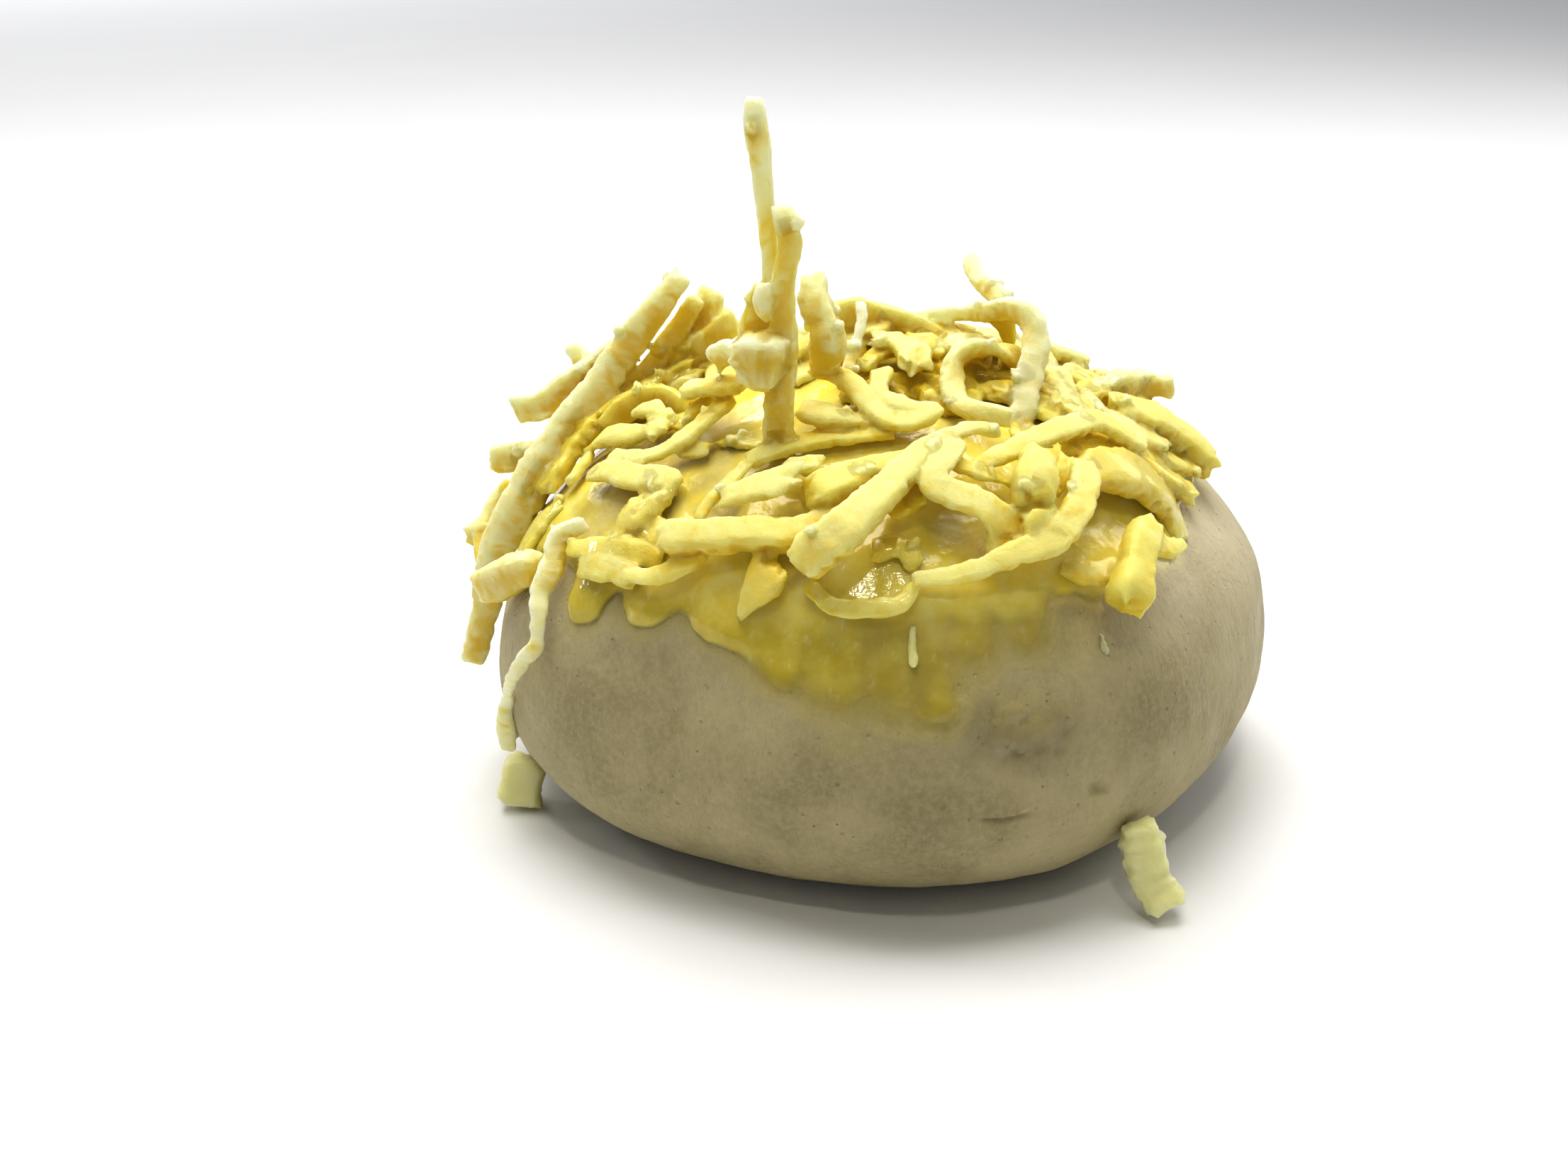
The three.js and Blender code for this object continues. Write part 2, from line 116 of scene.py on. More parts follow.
def layered_noise(points, waves, seed):
    """Noise in several sizes, each with its own height."""
    return sum(height * noise(points, size, seed + i) for i, (size, height) in enumerate(waves))


def dice(seed):
    """Numbers from 0 to 1, the same each time: each is worked out from the one before."""
    state = seed
    while True:
        state = state * DICE_FACTOR % DICE_RANGE
        yield state / DICE_RANGE


def rolled(roll, low, high):
    return low + (high - low) * next(roll)


def smooth_step(value, low, high):
    share = np.clip((value - low) / (high - low), 0, 1)
    return share * share * (3 - 2 * share)


# ---- The dough's surface ----


def outline_radius(azimuth):
    radius = DOUGH_RADIUS
    for waves, size, at in OUTLINE_WAVES:
        radius = radius + size * np.cos(waves * (azimuth - math.radians(at)))
    return radius


def direction(azimuth, elevation):
    flat = np.cos(elevation)
    return np.stack([flat * np.cos(azimuth), flat * np.sin(azimuth), np.sin(elevation)], -1)


def near_spot(azimuth, elevation, at_azimuth, at_elevation, spread):
    """1 at a spot of the dough, fading to 0 round it. Its place and its spread are in degrees."""
    there = direction(math.radians(at_azimuth), math.radians(at_elevation))
    apart = np.linalg.norm(direction(azimuth, elevation) - there, axis=-1)
    return np.exp(-((np.degrees(apart) / spread) ** 2))


def swelling(azimuth, elevation):
    rise = 0
    for *spot, height in SWELLINGS:
        rise = rise + height * near_spot(azimuth, elevation, *spot)
    return rise


def dough_point(azimuth, elevation, over=0.0):
    """A point on the dough, or `over` outside it, from its top to the rim of its foot."""
    azimuth, elevation = np.broadcast_arrays(azimuth, elevation)
    out = over + swelling(azimuth, elevation)
    radius = outline_radius(azimuth)
    flat = np.cos(elevation)
    steep = np.sin(elevation)
    above = elevation >= 0
    reach = np.where(above, radius * flat, radius * (FOOT_SHARE + (1 - FOOT_SHARE) * flat))
    rise = np.where(above, DOUGH_HEIGHT - BELLY_HEIGHT, BELLY_HEIGHT)
    x = (reach + out * flat) * np.cos(azimuth)
    y = (reach + out * flat) * np.sin(azimuth)
    z = BELLY_HEIGHT + rise * steep + np.where(above, out, over) * steep
    return np.stack([x, y, z], -1)


def crown_height(x, y, over):
    """Height at x, y of a crown that stands `over` outside the dough's, all round."""
    share = math.hypot(x, y) / (outline_radius(math.atan2(y, x)) + over)
    rise = DOUGH_HEIGHT - BELLY_HEIGHT + over
    return BELLY_HEIGHT + rise * math.sqrt(max(0.0, 1 - share * share))


# ---- Meshes ----


def ring_quads(rings, sides):
    """Faces between rings of points, each ring closed round."""
    ring = np.arange(rings - 1)[:, None] * sides
    side = np.arange(sides)[None, :]
    after = (side + 1) % sides
    quads = np.stack([ring + side, ring + after, ring + sides + after, ring + sides + side], -1)
    return quads.reshape(-1, 4)


def tube_faces(rings, sides):
    """Faces between rings of points, with two more points, one that closes each end."""
    count = rings * sides
    side = np.arange(sides)
    after = (side + 1) % sides
    start = np.stack([np.full(sides, count), after, side], -1)
    last = count - sides
    end = np.stack([np.full(sides, count + 1), last + side, last + after], -1)
    return ring_quads(rings, sides).tolist() + start.tolist() + end.tolist()


def add_object(name, data):
    added = bpy.data.objects.new(name, data)
    bpy.context.scene.collection.objects.link(added)
    return added


def make_piece(name, points, faces, material, nodes, numbers):
    """A smooth mesh that rides on the object. `numbers` are named values at its points."""
    mesh = bpy.data.meshes.new(name)
    mesh.from_pydata((np.asarray(points) * MM).tolist(), [], faces)
    for label, values in numbers.items():
        values = np.asarray(values, np.float32)
        kind, field = ("FLOAT", "value") if values.ndim == 1 else ("FLOAT_VECTOR", "vector")
        attribute = mesh.attributes.new(label, kind, "POINT")
        attribute.data.foreach_set(field, values.ravel())
    mesh.polygons.foreach_set("use_smooth", np.ones(len(mesh.polygons), bool))
    mesh.update()
    mesh.materials.append(material)
    piece = add_object(name, mesh)
    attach(piece, "root")
    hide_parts(*nodes)


# ---- Materials ----


class Recipe:
    """A material's node tree, with short ways to add to it."""

    def __init__(self, name):
        self.material = bpy.data.materials.new(name)
        self.material.use_nodes = True
        self.tree = self.material.node_tree
        self.tree.nodes.clear()
        output = self.tree.nodes.new("ShaderNodeOutputMaterial")
        self.shader = self.tree.nodes.new("ShaderNodeBsdfPrincipled")
        self.tree.links.new(self.shader.outputs[0], output.inputs["Surface"])
        self.place = self.tree.nodes.new("ShaderNodeTexCoord").outputs["Object"]

    def put(self, value, socket):
        """Links a node's output to a socket, or sets the socket to a plain value."""
        if isinstance(value, bpy.types.NodeSocket):
            self.tree.links.new(value, socket)
        else:
            socket.default_value = value

    def set(self, **values):
        for name, value in values.items():
            self.put(value, self.shader.inputs[name.replace("_", " ")])

    def attribute(self, name, field="Fac"):
        node = self.tree.nodes.new("ShaderNodeAttribute")
        node.attribute_name = name
        return node.outputs[field]

    def math(self, operation, first, second):
        node = self.tree.nodes.new("ShaderNodeMath")
        node.operation = operation
        self.put(first, node.inputs[0])
        self.put(second, node.inputs[1])
        return node.outputs[0]

    def part(self, share, most):
        """A share of 0 to 1 brought down to `most` at most."""
        return self.math("MULTIPLY", share, most)

    def stretch(self, scale, place=None):
        """The place, or another one, with each axis scaled."""
        node = self.tree.nodes.new("ShaderNodeMapping")
        self.put(place or self.place, node.inputs["Vector"])
        node.inputs["Scale"].default_value = scale
        return node.outputs[0]

    def noise(self, size, detail, roughness, place=None, shift=0.0, units=MM):
        """Noise from 0 to 1 in bumps of about `size` millimetres, where `units` has what one is."""
        node = self.tree.nodes.new("ShaderNodeTexNoise")
        node.noise_dimensions = "4D"
        self.put(place or self.place, node.inputs["Vector"])
        node.inputs["W"].default_value = shift
        node.inputs["Scale"].default_value = 1 / (size * units)
        node.inputs["Detail"].default_value = detail
        node.inputs["Roughness"].default_value = roughness
        return node.outputs["Fac"]

    def cells(self, size, field="Distance"):
        """A number for each place among cells of about `size` millimetres."""
        node = self.tree.nodes.new("ShaderNodeTexVoronoi")
        self.put(self.place, node.inputs["Vector"])
        node.inputs["Scale"].default_value = 1 / (size * MM)
        return node.outputs[field]

    def span(self, value, low, high, to_low=0.0, to_high=1.0):
        """Maps low..high to another range, smoothly and without going outside it."""
        node = self.tree.nodes.new("ShaderNodeMapRange")
        node.interpolation_type = "SMOOTHSTEP"
        self.put(value, node.inputs["Value"])
        node.inputs["From Min"].default_value = low
        node.inputs["From Max"].default_value = high
        node.inputs["To Min"].default_value = to_low
        node.inputs["To Max"].default_value = to_high
        return node.outputs[0]

    def mix(self, share, first, second):
        """The first colour where the share is 0, and the second where it is 1."""
        node = self.tree.nodes.new("ShaderNodeMix")
        node.data_type = "RGBA"
        self.put(share, node.inputs["Factor"])
        for value, name in ((first, "A"), (second, "B")):
            socket = [s for s in node.inputs if s.name == name and s.type == "RGBA"][0]
            if not isinstance(value, bpy.types.NodeSocket):
                value = (*value, 1)
            self.put(value, socket)
        return [s for s in node.outputs if s.type == "RGBA"][0]

    def bump(self, height, depth, normal=None):
        """Bump whose height of 1 stands `depth` millimetres."""
        node = self.tree.nodes.new("ShaderNodeBump")
        node.inputs["Distance"].default_value = depth * MM
        self.put(height, node.inputs["Height"])
        if normal is not None:
            self.put(normal, node.inputs["Normal"])
        return node.outputs[0]


def dough_material():
    recipe = Recipe("raw_dough")
    film = recipe.attribute("film")
    torn = recipe.attribute("torn")
    pale_and_lit = recipe.attribute("pale_and_lit")
    broad = recipe.noise(13, 3, 0.55)
    mottle = recipe.noise(3.2, 5, 0.75, shift=3)
    grain = recipe.noise(0.7, 3, 0.7, shift=7)
    colour = recipe.mix(recipe.span(broad, 0.35, 0.68), (0.32, 0.27, 0.135), (0.475, 0.412, 0.225))
    # Paler spots: dry, floury skin, and on the upper right also a painted highlight.
    colour = recipe.mix(recipe.part(pale_and_lit, 0.6), colour, (0.70, 0.62, 0.46))
    colour = recipe.mix(recipe.span(mottle, 0.48, 0.75, 0, 0.35), colour, (0.29, 0.25, 0.14))
    colour = recipe.mix(recipe.span(grain, 0.3, 0.75, 0, 0.4), colour, (0.57, 0.505, 0.30))
    colour = recipe.mix(recipe.part(torn, 0.8), colour, (0.23, 0.19, 0.085))
    chosen = recipe.span(recipe.cells(2.3, "Color"), 0.52, 0.6)
    speck = recipe.math("MULTIPLY", recipe.span(recipe.cells(2.3), 0.075, 0.03), chosen)
    colour = recipe.mix(recipe.part(speck, 0.8), colour, (0.16, 0.10, 0.045))
    # Painted light and shade: the film is lighter on the top and darker low down.
    wetted = recipe.mix(recipe.attribute("crown"), (0.50, 0.42, 0.17), (0.76, 0.64, 0.25))
    colour = recipe.mix(recipe.part(film, 0.9), colour, wetted)
    wet = recipe.math("MAXIMUM", film, torn)
    rough = recipe.span(recipe.noise(4, 2, 0.5, shift=11), 0.3, 0.7, 0.44, 0.62)
    rough = recipe.math("MULTIPLY", rough, recipe.span(wet, 0, 1, 1, 0.45))
    pits = recipe.span(recipe.cells(1.7), 0.0, 0.16)
    scratches = recipe.noise(0.9, 2, 0.6, place=recipe.stretch((1, 1, 0.3)), shift=5)
    normal = recipe.bump(recipe.noise(0.35, 3, 0.65, shift=2), 0.11)
    normal = recipe.bump(scratches, 0.28, normal)
    normal = recipe.bump(pits, 0.18, normal)
    recipe.set(
        Base_Color=colour,
        Roughness=rough,
        Normal=normal,
        Subsurface_Weight=0.25,
        Subsurface_Radius=(2.4, 1.5, 0.8),
        Subsurface_Scale=MM,
        Coat_Weight=recipe.part(wet, 0.5),
        Coat_Roughness=0.12,
        Specular_IOR_Level=0.4,
    )
    return recipe.material


def wash_material():
    recipe = Recipe("egg_wash")
    depth = recipe.attribute("depth")
    cloud = recipe.span(recipe.noise(2.6, 3, 0.6), 0.35, 0.7)
    # Painted light and shade: the wash is darker low down on the shaded front and lighter on the top.
    low = recipe.mix(cloud, (0.56, 0.445, 0.045), (0.66, 0.55, 0.10))
    high = recipe.mix(cloud, (0.86, 0.70, 0.11), (0.90, 0.79, 0.25))
    colour = recipe.mix(recipe.attribute("crown"), low, high)
    streaks = recipe.noise(1.3, 3, 0.6, place=recipe.stretch((1, 1, 0.4)), shift=4)
    colour = recipe.mix(recipe.span(streaks, 0.56, 0.74, 0, 0.6), colour, (0.84, 0.77, 0.33))
    normal = recipe.bump(recipe.noise(3.5, 2, 0.5, shift=13), 0.3)
    normal = recipe.bump(recipe.noise(0.8, 3, 0.6, shift=6), 0.06, normal)
    uneven = recipe.span(recipe.noise(3, 2, 0.5, shift=9), 0.3, 0.7, 0.04, 0.13)
    recipe.set(
        Base_Color=colour,
        Roughness=recipe.math("ADD", uneven, recipe.span(depth, 0.05, 0.3, 0.2, 0)),
        Normal=normal,
        Alpha=recipe.span(depth, 0, 0.5, 0.0, 0.96),
        Subsurface_Weight=0.25,
        Subsurface_Radius=(2.0, 1.4, 0.3),
        Subsurface_Scale=MM,
        Specular_IOR_Level=0.55,
    )
    return recipe.material


def cheese_material():
    recipe = Recipe("grated_cheese")
    tone = recipe.attribute("tone")
    coat = recipe.attribute("coat")
    painted_shade = recipe.attribute("painted_shade")
    strand = recipe.attribute("strand", "Vector")
    colour = recipe.mix(tone, (0.82, 0.84, 0.60), (0.73, 0.655, 0.12))
    patchy = recipe.noise(3, 3, 0.6, shift=1)
    colour = recipe.mix(recipe.span(patchy, 0.4, 0.75, 0, 0.3), colour, (0.81, 0.79, 0.53))
    fibres = recipe.noise(0.55, 3, 0.6, place=recipe.stretch((0.12, 1, 1), strand), units=1)
    colour = recipe.mix(recipe.span(fibres, 0.5, 0.75, 0, 0.25), colour, (0.72, 0.64, 0.20))
    colour = recipe.mix(recipe.part(coat, 0.5), colour, (0.76, 0.63, 0.11))
    # Painted shade: a darker, deep golden yellow where other shreds stand over a point, for the shade
    # and the yellow light deep in the heap.
    colour = recipe.mix(recipe.part(painted_shade, 0.92), colour, (0.70, 0.515, 0.014))
    rough = recipe.span(patchy, 0.3, 0.7, 0.46, 0.62)
    rough = recipe.math("SUBTRACT", rough, recipe.part(coat, 0.28))
    normal = recipe.bump(fibres, 0.13)
    normal = recipe.bump(recipe.noise(0.9, 4, 0.7, shift=12), 0.17, normal)
    normal = recipe.bump(recipe.noise(0.3, 3, 0.7, shift=8), 0.06, normal)
    recipe.set(
        Base_Color=colour,
        Roughness=rough,
        Normal=normal,
        Subsurface_Weight=0.9,
        Subsurface_Radius=(2.2, 2.15, 1.7),
        Subsurface_Scale=MM,
        Coat_Weight=recipe.part(coat, 0.8),
        Coat_Roughness=0.1,
        Specular_IOR_Level=0.4,
    )
    return recipe.material


def floor_material():
    recipe = Recipe("pale_floor")
    cloud = recipe.noise(60, 2, 0.5)
    recipe.set(
        Base_Color=recipe.mix(cloud, (0.77, 0.77, 0.775), (0.80, 0.80, 0.805)),
        Roughness=0.7,
        Specular_IOR_Level=0.2,
    )
    return recipe.material


# ---- Relief of the dough ----

RELIEF_WAVES = [(16, 0.30), (7, 0.16), (3.2, 0.07), (1.4, 0.03)]  # size and height
RELIEF_FROM = (-88, -55)  # elevations between which the relief comes up, above the foot

# Spots of the dough: azimuth, elevation and spread in degrees, and the dents' depth.
TORN_PATCHES = [(-78, 18, 5), (-73, 15, 6.5), (-67, 12, 6), (-64, 14, 5)]
# Paler spots of the skin are dry, floury patches, but the one at -10 degrees is also a painted
# highlight of the light from the right back.
PALE_AND_LIT_SPOTS = [(-10, 33, 20), (-30, 30, 12), (-157, 34, 14), (-168, 25, 10), (60, 30, 25), (120, 25, 20)]
DARK_DENTS = [(-122, 14, 4, 0.3), (-128, 21, 4, 0.2), (-57, 1, 1.6, 0.8), (-96, 4, 5, 0.2)]
TORN_SHARPNESS = 1.3  # how quickly a torn patch fades out
TORN_WRINKLES = 0.4  # their height
TORN_PITS = 0.6  # their depth

# A little fold in the skin: azimuth and elevation, half its length, radius of its bow, and its
# ridge and the groove under it, with their rise, how far up from its line they lie and spread.
FOLD_AT = (-72, -1)
FOLD_HALF = 3.2
FOLD_RADIUS = 6
FOLD_WAVES = [(0.28, 0, 0.4), (-0.34, -0.75, 0.45)]
SIDE_UP = 1.6 * BELLY_HEIGHT  # millimetres up the dough's side for each radian


def spots_mask(azimuth, elevation, spots):
    """1 in the middle of the nearest spot, fading to 0 round it."""
    return np.max([near_spot(azimuth, elevation, *spot) for spot in spots], axis=0)


def fold(azimuth, elevation):
    """How far the little fold stands out from the skin."""
    round_by = azimuth - math.radians(FOLD_AT[0])
    across = DOUGH_RADIUS * np.arctan2(np.sin(round_by), np.cos(round_by))
    up = SIDE_UP * (elevation - math.radians(FOLD_AT[1]))
    off = up - across**2 / (2 * FOLD_RADIUS)
    rise = sum(height * np.exp(-(((off - at) / spread) ** 2)) for height, at, spread in FOLD_WAVES)
    return rise * (1 - smooth_step(np.abs(across), 0.5 * FOLD_HALF, FOLD_HALF))


def relief(azimuth, elevation):
    """How far the real skin stands out from the smooth dough, and how torn it is."""
    spot = dough_point(azimuth, elevation)
    rise = layered_noise(spot, RELIEF_WAVES, 0)
    for *dent, depth in DARK_DENTS:
        rise = rise - depth * near_spot(azimuth, elevation, *dent)
    torn = spots_mask(azimuth, elevation, TORN_PATCHES) ** TORN_SHARPNESS
    pulled = spot * np.array([1, 1, 0.5])
    wrinkles = 1 - 2.4 * np.abs(noise(pulled, 2.4, 20))
    pits = smooth_step(noise(spot, 1.8, 21), 0.1, 0.6)
    rise = rise + torn * (TORN_WRINKLES * wrinkles - TORN_PITS * pits)
    rise = rise + fold(azimuth, elevation)
    return rise * smooth_step(np.degrees(elevation), *RELIEF_FROM), torn


# ---- Egg wash ----

WASH_THICK = 0.55
WASH_SOFT = 1.6  # how far in from its edge, between the runs, it reaches that thickness
WASH_RISE = 34  # millimetres of the dough's surface for each radian of elevation
# Where the wash ends between its runs: azimuth and elevation in degrees.
WASH_EDGE = [
    (-180, 29), (-160, 30), (-140, 30), (-128, 32), (-112, 31), (-98, 30), (-82, 31), (-70, 33),
    (-60, 35), (-40, 36), (-19, 38), (-4, 39), (22, 37), (63, 37), (98, 37), (133, 36), (165, 31),
]
WASH_EDGE_WAVES = [(4.5, 0.8), (1.8, 0.3)]  # size, and how far the edge goes out and in by it
WASH_BACK = 0.3  # how far the edge keeps back from what is given
WASH_RIPPLES = [(5, 0.2), (2.2, 0.15)]  # size, and height as a share of the thickness
WASH_FULLNESS = 2.2  # of its rounded edge: 1 is a straight slope
# Runs down the dough: azimuth and elevation of the lowest point, half width, thickness and how
# far in from its edge it reaches that thickness.
WASH_RUNS = [
    (-175, 23, 3.0, 0.8, 1.6),
    (-163, 27, 2.0, 0.5, 1.6),
    (-143, 22.5, 3.2, 1.1, 2.2),
    (-132, 25.5, 3.0, 1.1, 2.0),
    (-119, 26, 3.6, 1.1, 2.4),
    (-113, 24.5, 3.2, 0.9, 2.4),
    (-106.5, 19.5, 4.6, 0.55, 4.5),
    (-98, 16, 5.2, 0.38, 5.0),
    (-88.5, 15.5, 4.8, 0.3, 4.6),
    (-82.5, 14.5, 2.8, 0.32, 2.8),
    (-76, 24, 3.6, 0.28, 3.6),
    (-67, 25, 3.4, 0.26, 3.0),
    (-50, 32, 2.6, 0.4, 1.6),
    (-29, 33, 2.6, 0.6, 1.6),
    (22, 28, 3.4, 0.7, 1.6),
    (63, 23, 3.6, 0.8, 1.6),
    (98, 27, 2.5, 0.6, 1.6),
    (133, 24, 3.2, 0.8, 1.6),
]
RUN_TOP = 50  # elevation that the runs come down from, degrees
RUN_BLEND = 1.2  # how widely a run and what is beside it join
RUN_SHARPNESS = 1.5  # how quickly a run's own thickness gives way beside it
RUN_POWERS = (-9, 3)  # least and greatest power of e in its weight
EDGE_POWERS = (-6, 3)  # and in the weight of the wash between the runs
# Where the wash is thin and the dough shows through it: azimuth, elevation and radius.
THIN_PATCHES = [
    (-152, 42, 6), (-142, 56, 7), (-160, 52, 5), (-127, 48, 3.5), (-70, 45, 3), (-78, 47.5, 3),
]
THIN_SHARE = 0.65  # of its thickness that it lacks there
THIN_UNEVEN = 0.35  # how far their rims go out and in, as a share of the radius
# Where a film of it stains the dough beyond its edge: azimuth, elevation and spread.
STAINS = [(-66, 15, 3.4), (-71, 18, 5), (-78, 22, 5), (-58, 28, 5), (-95, 14, 5)]
STAIN_SHARE = 0.5
FILM_SHARE = 0.8  # of the film all along the edge
FILM_REACH = 0.9  # how far that goes
WASH_MARGIN = 0.35  # how far its skin goes on into the dough beyond the edge
WASH_FROM = 10  # elevation, degrees
WASH_CROWN = (27, 37)  # elevations between which it gets thicker, and painted light makes it and the film on the dough brighter
WASH_FOOTING = 0.5  # depth of its underside in the dough
# Its rings: elevation that they start from, how many there are up to the next, and the last.
WASH_RINGS = [(WASH_FROM, 66), (46, 34), (89.5, 0)]
WASH_SIDES = 470
DOUGH_RINGS = [(-90, 175), (50, 20), (89, 0)]
DOUGH_SIDES = 490
FOOT_RINGS = 6


def skin_grid(rings, sides):
    """Azimuths and elevations of rings of points, even between the elevations given."""
    parts = []
    for (low, count), (high, more) in zip(rings, rings[1:]):
        parts.append(np.linspace(low, high, count, endpoint=more == 0))
    azimuths = np.linspace(-np.pi, np.pi, sides, endpoint=False)
    return np.meshgrid(azimuths, np.radians(np.concatenate(parts)))


def wash_field(azimuth, elevation):
    """Depth in from the wash's edge, the thickness there, and how soft the edge is."""
    spot = dough_point(azimuth, elevation)
    edge_at, edge = np.array(WASH_EDGE, float).T
    level = np.radians(np.interp(np.degrees(azimuth), edge_at, edge, period=360))
    depth = WASH_RISE * (elevation - level)
    weight_sum = np.exp(np.clip(depth, *EDGE_POWERS))
    thick_sum = WASH_THICK * weight_sum
    soft_sum = WASH_SOFT * weight_sum
    for at, tip, half, thick, soft in WASH_RUNS:
        low = dough_point(math.radians(at), math.radians(tip) + half / WASH_RISE)
        way = dough_point(math.radians(at), math.radians(RUN_TOP)) - low
        along = np.clip(((spot - low) @ way) / (way @ way), 0, 1)
        inside = half - np.linalg.norm(spot - low - along[..., None] * way, axis=-1)
        depth = 0.5 * (depth + inside + np.sqrt((depth - inside) ** 2 + RUN_BLEND))
        weight = np.exp(np.clip(RUN_SHARPNESS * inside, *RUN_POWERS))
        thick_sum = thick_sum + weight * thick
        soft_sum = soft_sum + weight * soft
        weight_sum = weight_sum + weight
    depth = depth + layered_noise(spot, WASH_EDGE_WAVES, 30) - WASH_BACK
    thick = thick_sum / weight_sum
    thick = np.maximum(thick, WASH_THICK * smooth_step(np.degrees(elevation), *WASH_CROWN))
    for at_azimuth, at_elevation, radius in THIN_PATCHES:
        centre = dough_point(math.radians(at_azimuth), math.radians(at_elevation))
        away = np.linalg.norm(spot - centre, axis=-1) / radius
        away = away + THIN_UNEVEN * noise(spot, 3, 32)
        thick = thick * (1 - THIN_SHARE * np.exp(-(away**2)))
    return depth, thick, soft_sum / weight_sum


def wash_thickness(azimuth, elevation):
    """Thickness of the wash, below 0 outside it, and its depth in from its edge."""
    depth, thick, soft = wash_field(azimuth, elevation)
    spot = dough_point(azimuth, elevation)
    share = np.clip(depth / soft, 0, 1)
    rounded = 1 - (1 - share) ** WASH_FULLNESS
    ripple = 1 + layered_noise(spot, WASH_RIPPLES, 33)
    return np.where(depth > 0, thick * rounded * ripple, np.maximum(depth, -WASH_MARGIN)), depth


def make_wash():
    azimuth, elevation = skin_grid(WASH_RINGS, WASH_SIDES)
    thickness, depth = wash_thickness(azimuth, elevation)
    skin, _ = relief(azimuth, elevation)
    top = dough_point(azimuth, elevation, skin + thickness).reshape(-1, 3)
    under = dough_point(azimuth, elevation, skin - WASH_FOOTING).reshape(-1, 3)
    wet = (depth > -WASH_MARGIN).ravel()
    quads = ring_quads(*azimuth.shape)
    quads = quads[wet[quads].any(axis=1)]
    start = quads.ravel()
    end = np.roll(quads, -1, axis=1).ravel()
    bare = ~np.isin(end * len(top) + start, start * len(top) + end)
    start = start[bare]
    end = end[bare]
    walls = np.stack([end, start, start + len(top), end + len(top)], -1)
    faces = np.vstack([quads, quads[:, ::-1] + len(top), walls])
    points = np.vstack([top, under])
    deep = np.concatenate([np.maximum(thickness, 0).ravel(), np.zeros(len(under))])
    # How far up each point is, for the painted light on the top.
    crown = np.tile(smooth_step(np.degrees(elevation), *WASH_CROWN).ravel(), 2)
    used = np.unique(faces)
    renumber = np.zeros(len(points), int)
    renumber[used] = np.arange(len(used))
    make_piece(
        "egg_wash_runs", points[used], renumber[faces].tolist(), wash_material(),
        ["egg_wash"], {"depth": deep[used], "crown": crown[used]},
    )


def make_dough():
    azimuth, elevation = skin_grid(DOUGH_RINGS, DOUGH_SIDES)
    skin, torn = relief(azimuth, elevation)
    side = dough_point(azimuth, elevation, skin)
    inward = np.linspace(0.1, 1, FOOT_RINGS, endpoint=False)[:, None, None]
    under = side[:1] * np.array([1, 1, 0]) * inward
    top = dough_point(0.0, math.radians(90), 0.1)
    points = np.vstack([under.reshape(-1, 3), side.reshape(-1, 3), [0, 0, 0], top])
    _, depth = wash_thickness(azimuth, elevation)
    film = FILM_SHARE * np.exp(-((np.clip(-depth, 0, None) / FILM_REACH) ** 2))
    film = np.maximum(film, STAIN_SHARE * spots_mask(azimuth, elevation, STAINS))
    # Paler spots, partly a painted highlight, and the height that sets the painted light on the film.
    pale_and_lit = spots_mask(azimuth, elevation, PALE_AND_LIT_SPOTS)
    crown = smooth_step(np.degrees(elevation), *WASH_CROWN)
    foot = np.zeros(FOOT_RINGS * DOUGH_SIDES)
    with_ends = {}
    for name, values, at_top in (
        ("film", film, 1), ("torn", torn, 0), ("pale_and_lit", pale_and_lit, 0), ("crown", crown, 1),
    ):
        with_ends[name] = np.concatenate([foot, values.ravel(), [0, at_top]])
    faces = tube_faces(FOOT_RINGS + len(side), DOUGH_SIDES)
    make_piece("dough_ball", points, faces, dough_material(), ["dough"], with_ends)


# ---- Cheese shreds ----

SHRED_THICK = 0.48  # thickness of a shred as a share of its width
SHRED_TIP = 0.86  # size of a shred's end as a share of its middle
SHRED_SPARE = 1.08  # how much wider it is made, for what the fusing takes away
SHRED_GRAIN = 0.4  # length of a shred between two of its rings
SHRED_SIDES = 18
SQUARENESS = 4.0  # of a shred's section: 2 is an ellipse
SETTLE = 0.5  # how far the shreds sink into the wash
LYING_GLOW = 0.65  # least yellow of a shred that lies among others: a painted glow for the yellow light that they cast on it
FORWARD = (0, -1, 0)
TURNING = 0.25  # how fast a shred's wide side turns to face the way it should
LINE_STEPS = 30  # fine steps between two of the points given
END_RINGS = (0, 0.12, 0.28, 0.5)  # where a shred's last rings lie, as shares of END_SPAN
END_SPAN = 1.6  # that length, measured in lengths between its other rings
# As shares of a shred's width: how far its ends are rounded, are ragged, and stand out.
END_ROUND = 0.25
END_RAGGED = 0.8
END_RISE = 0.1
TWIST = 0.25  # how far a shred turns about its line, radians
SEED_STEP = (7.3, 3.1, 5.7)  # how far apart two shreds lie in the noise that shapes them
STRAND_STEP = 31.7  # and in the noise that colours them


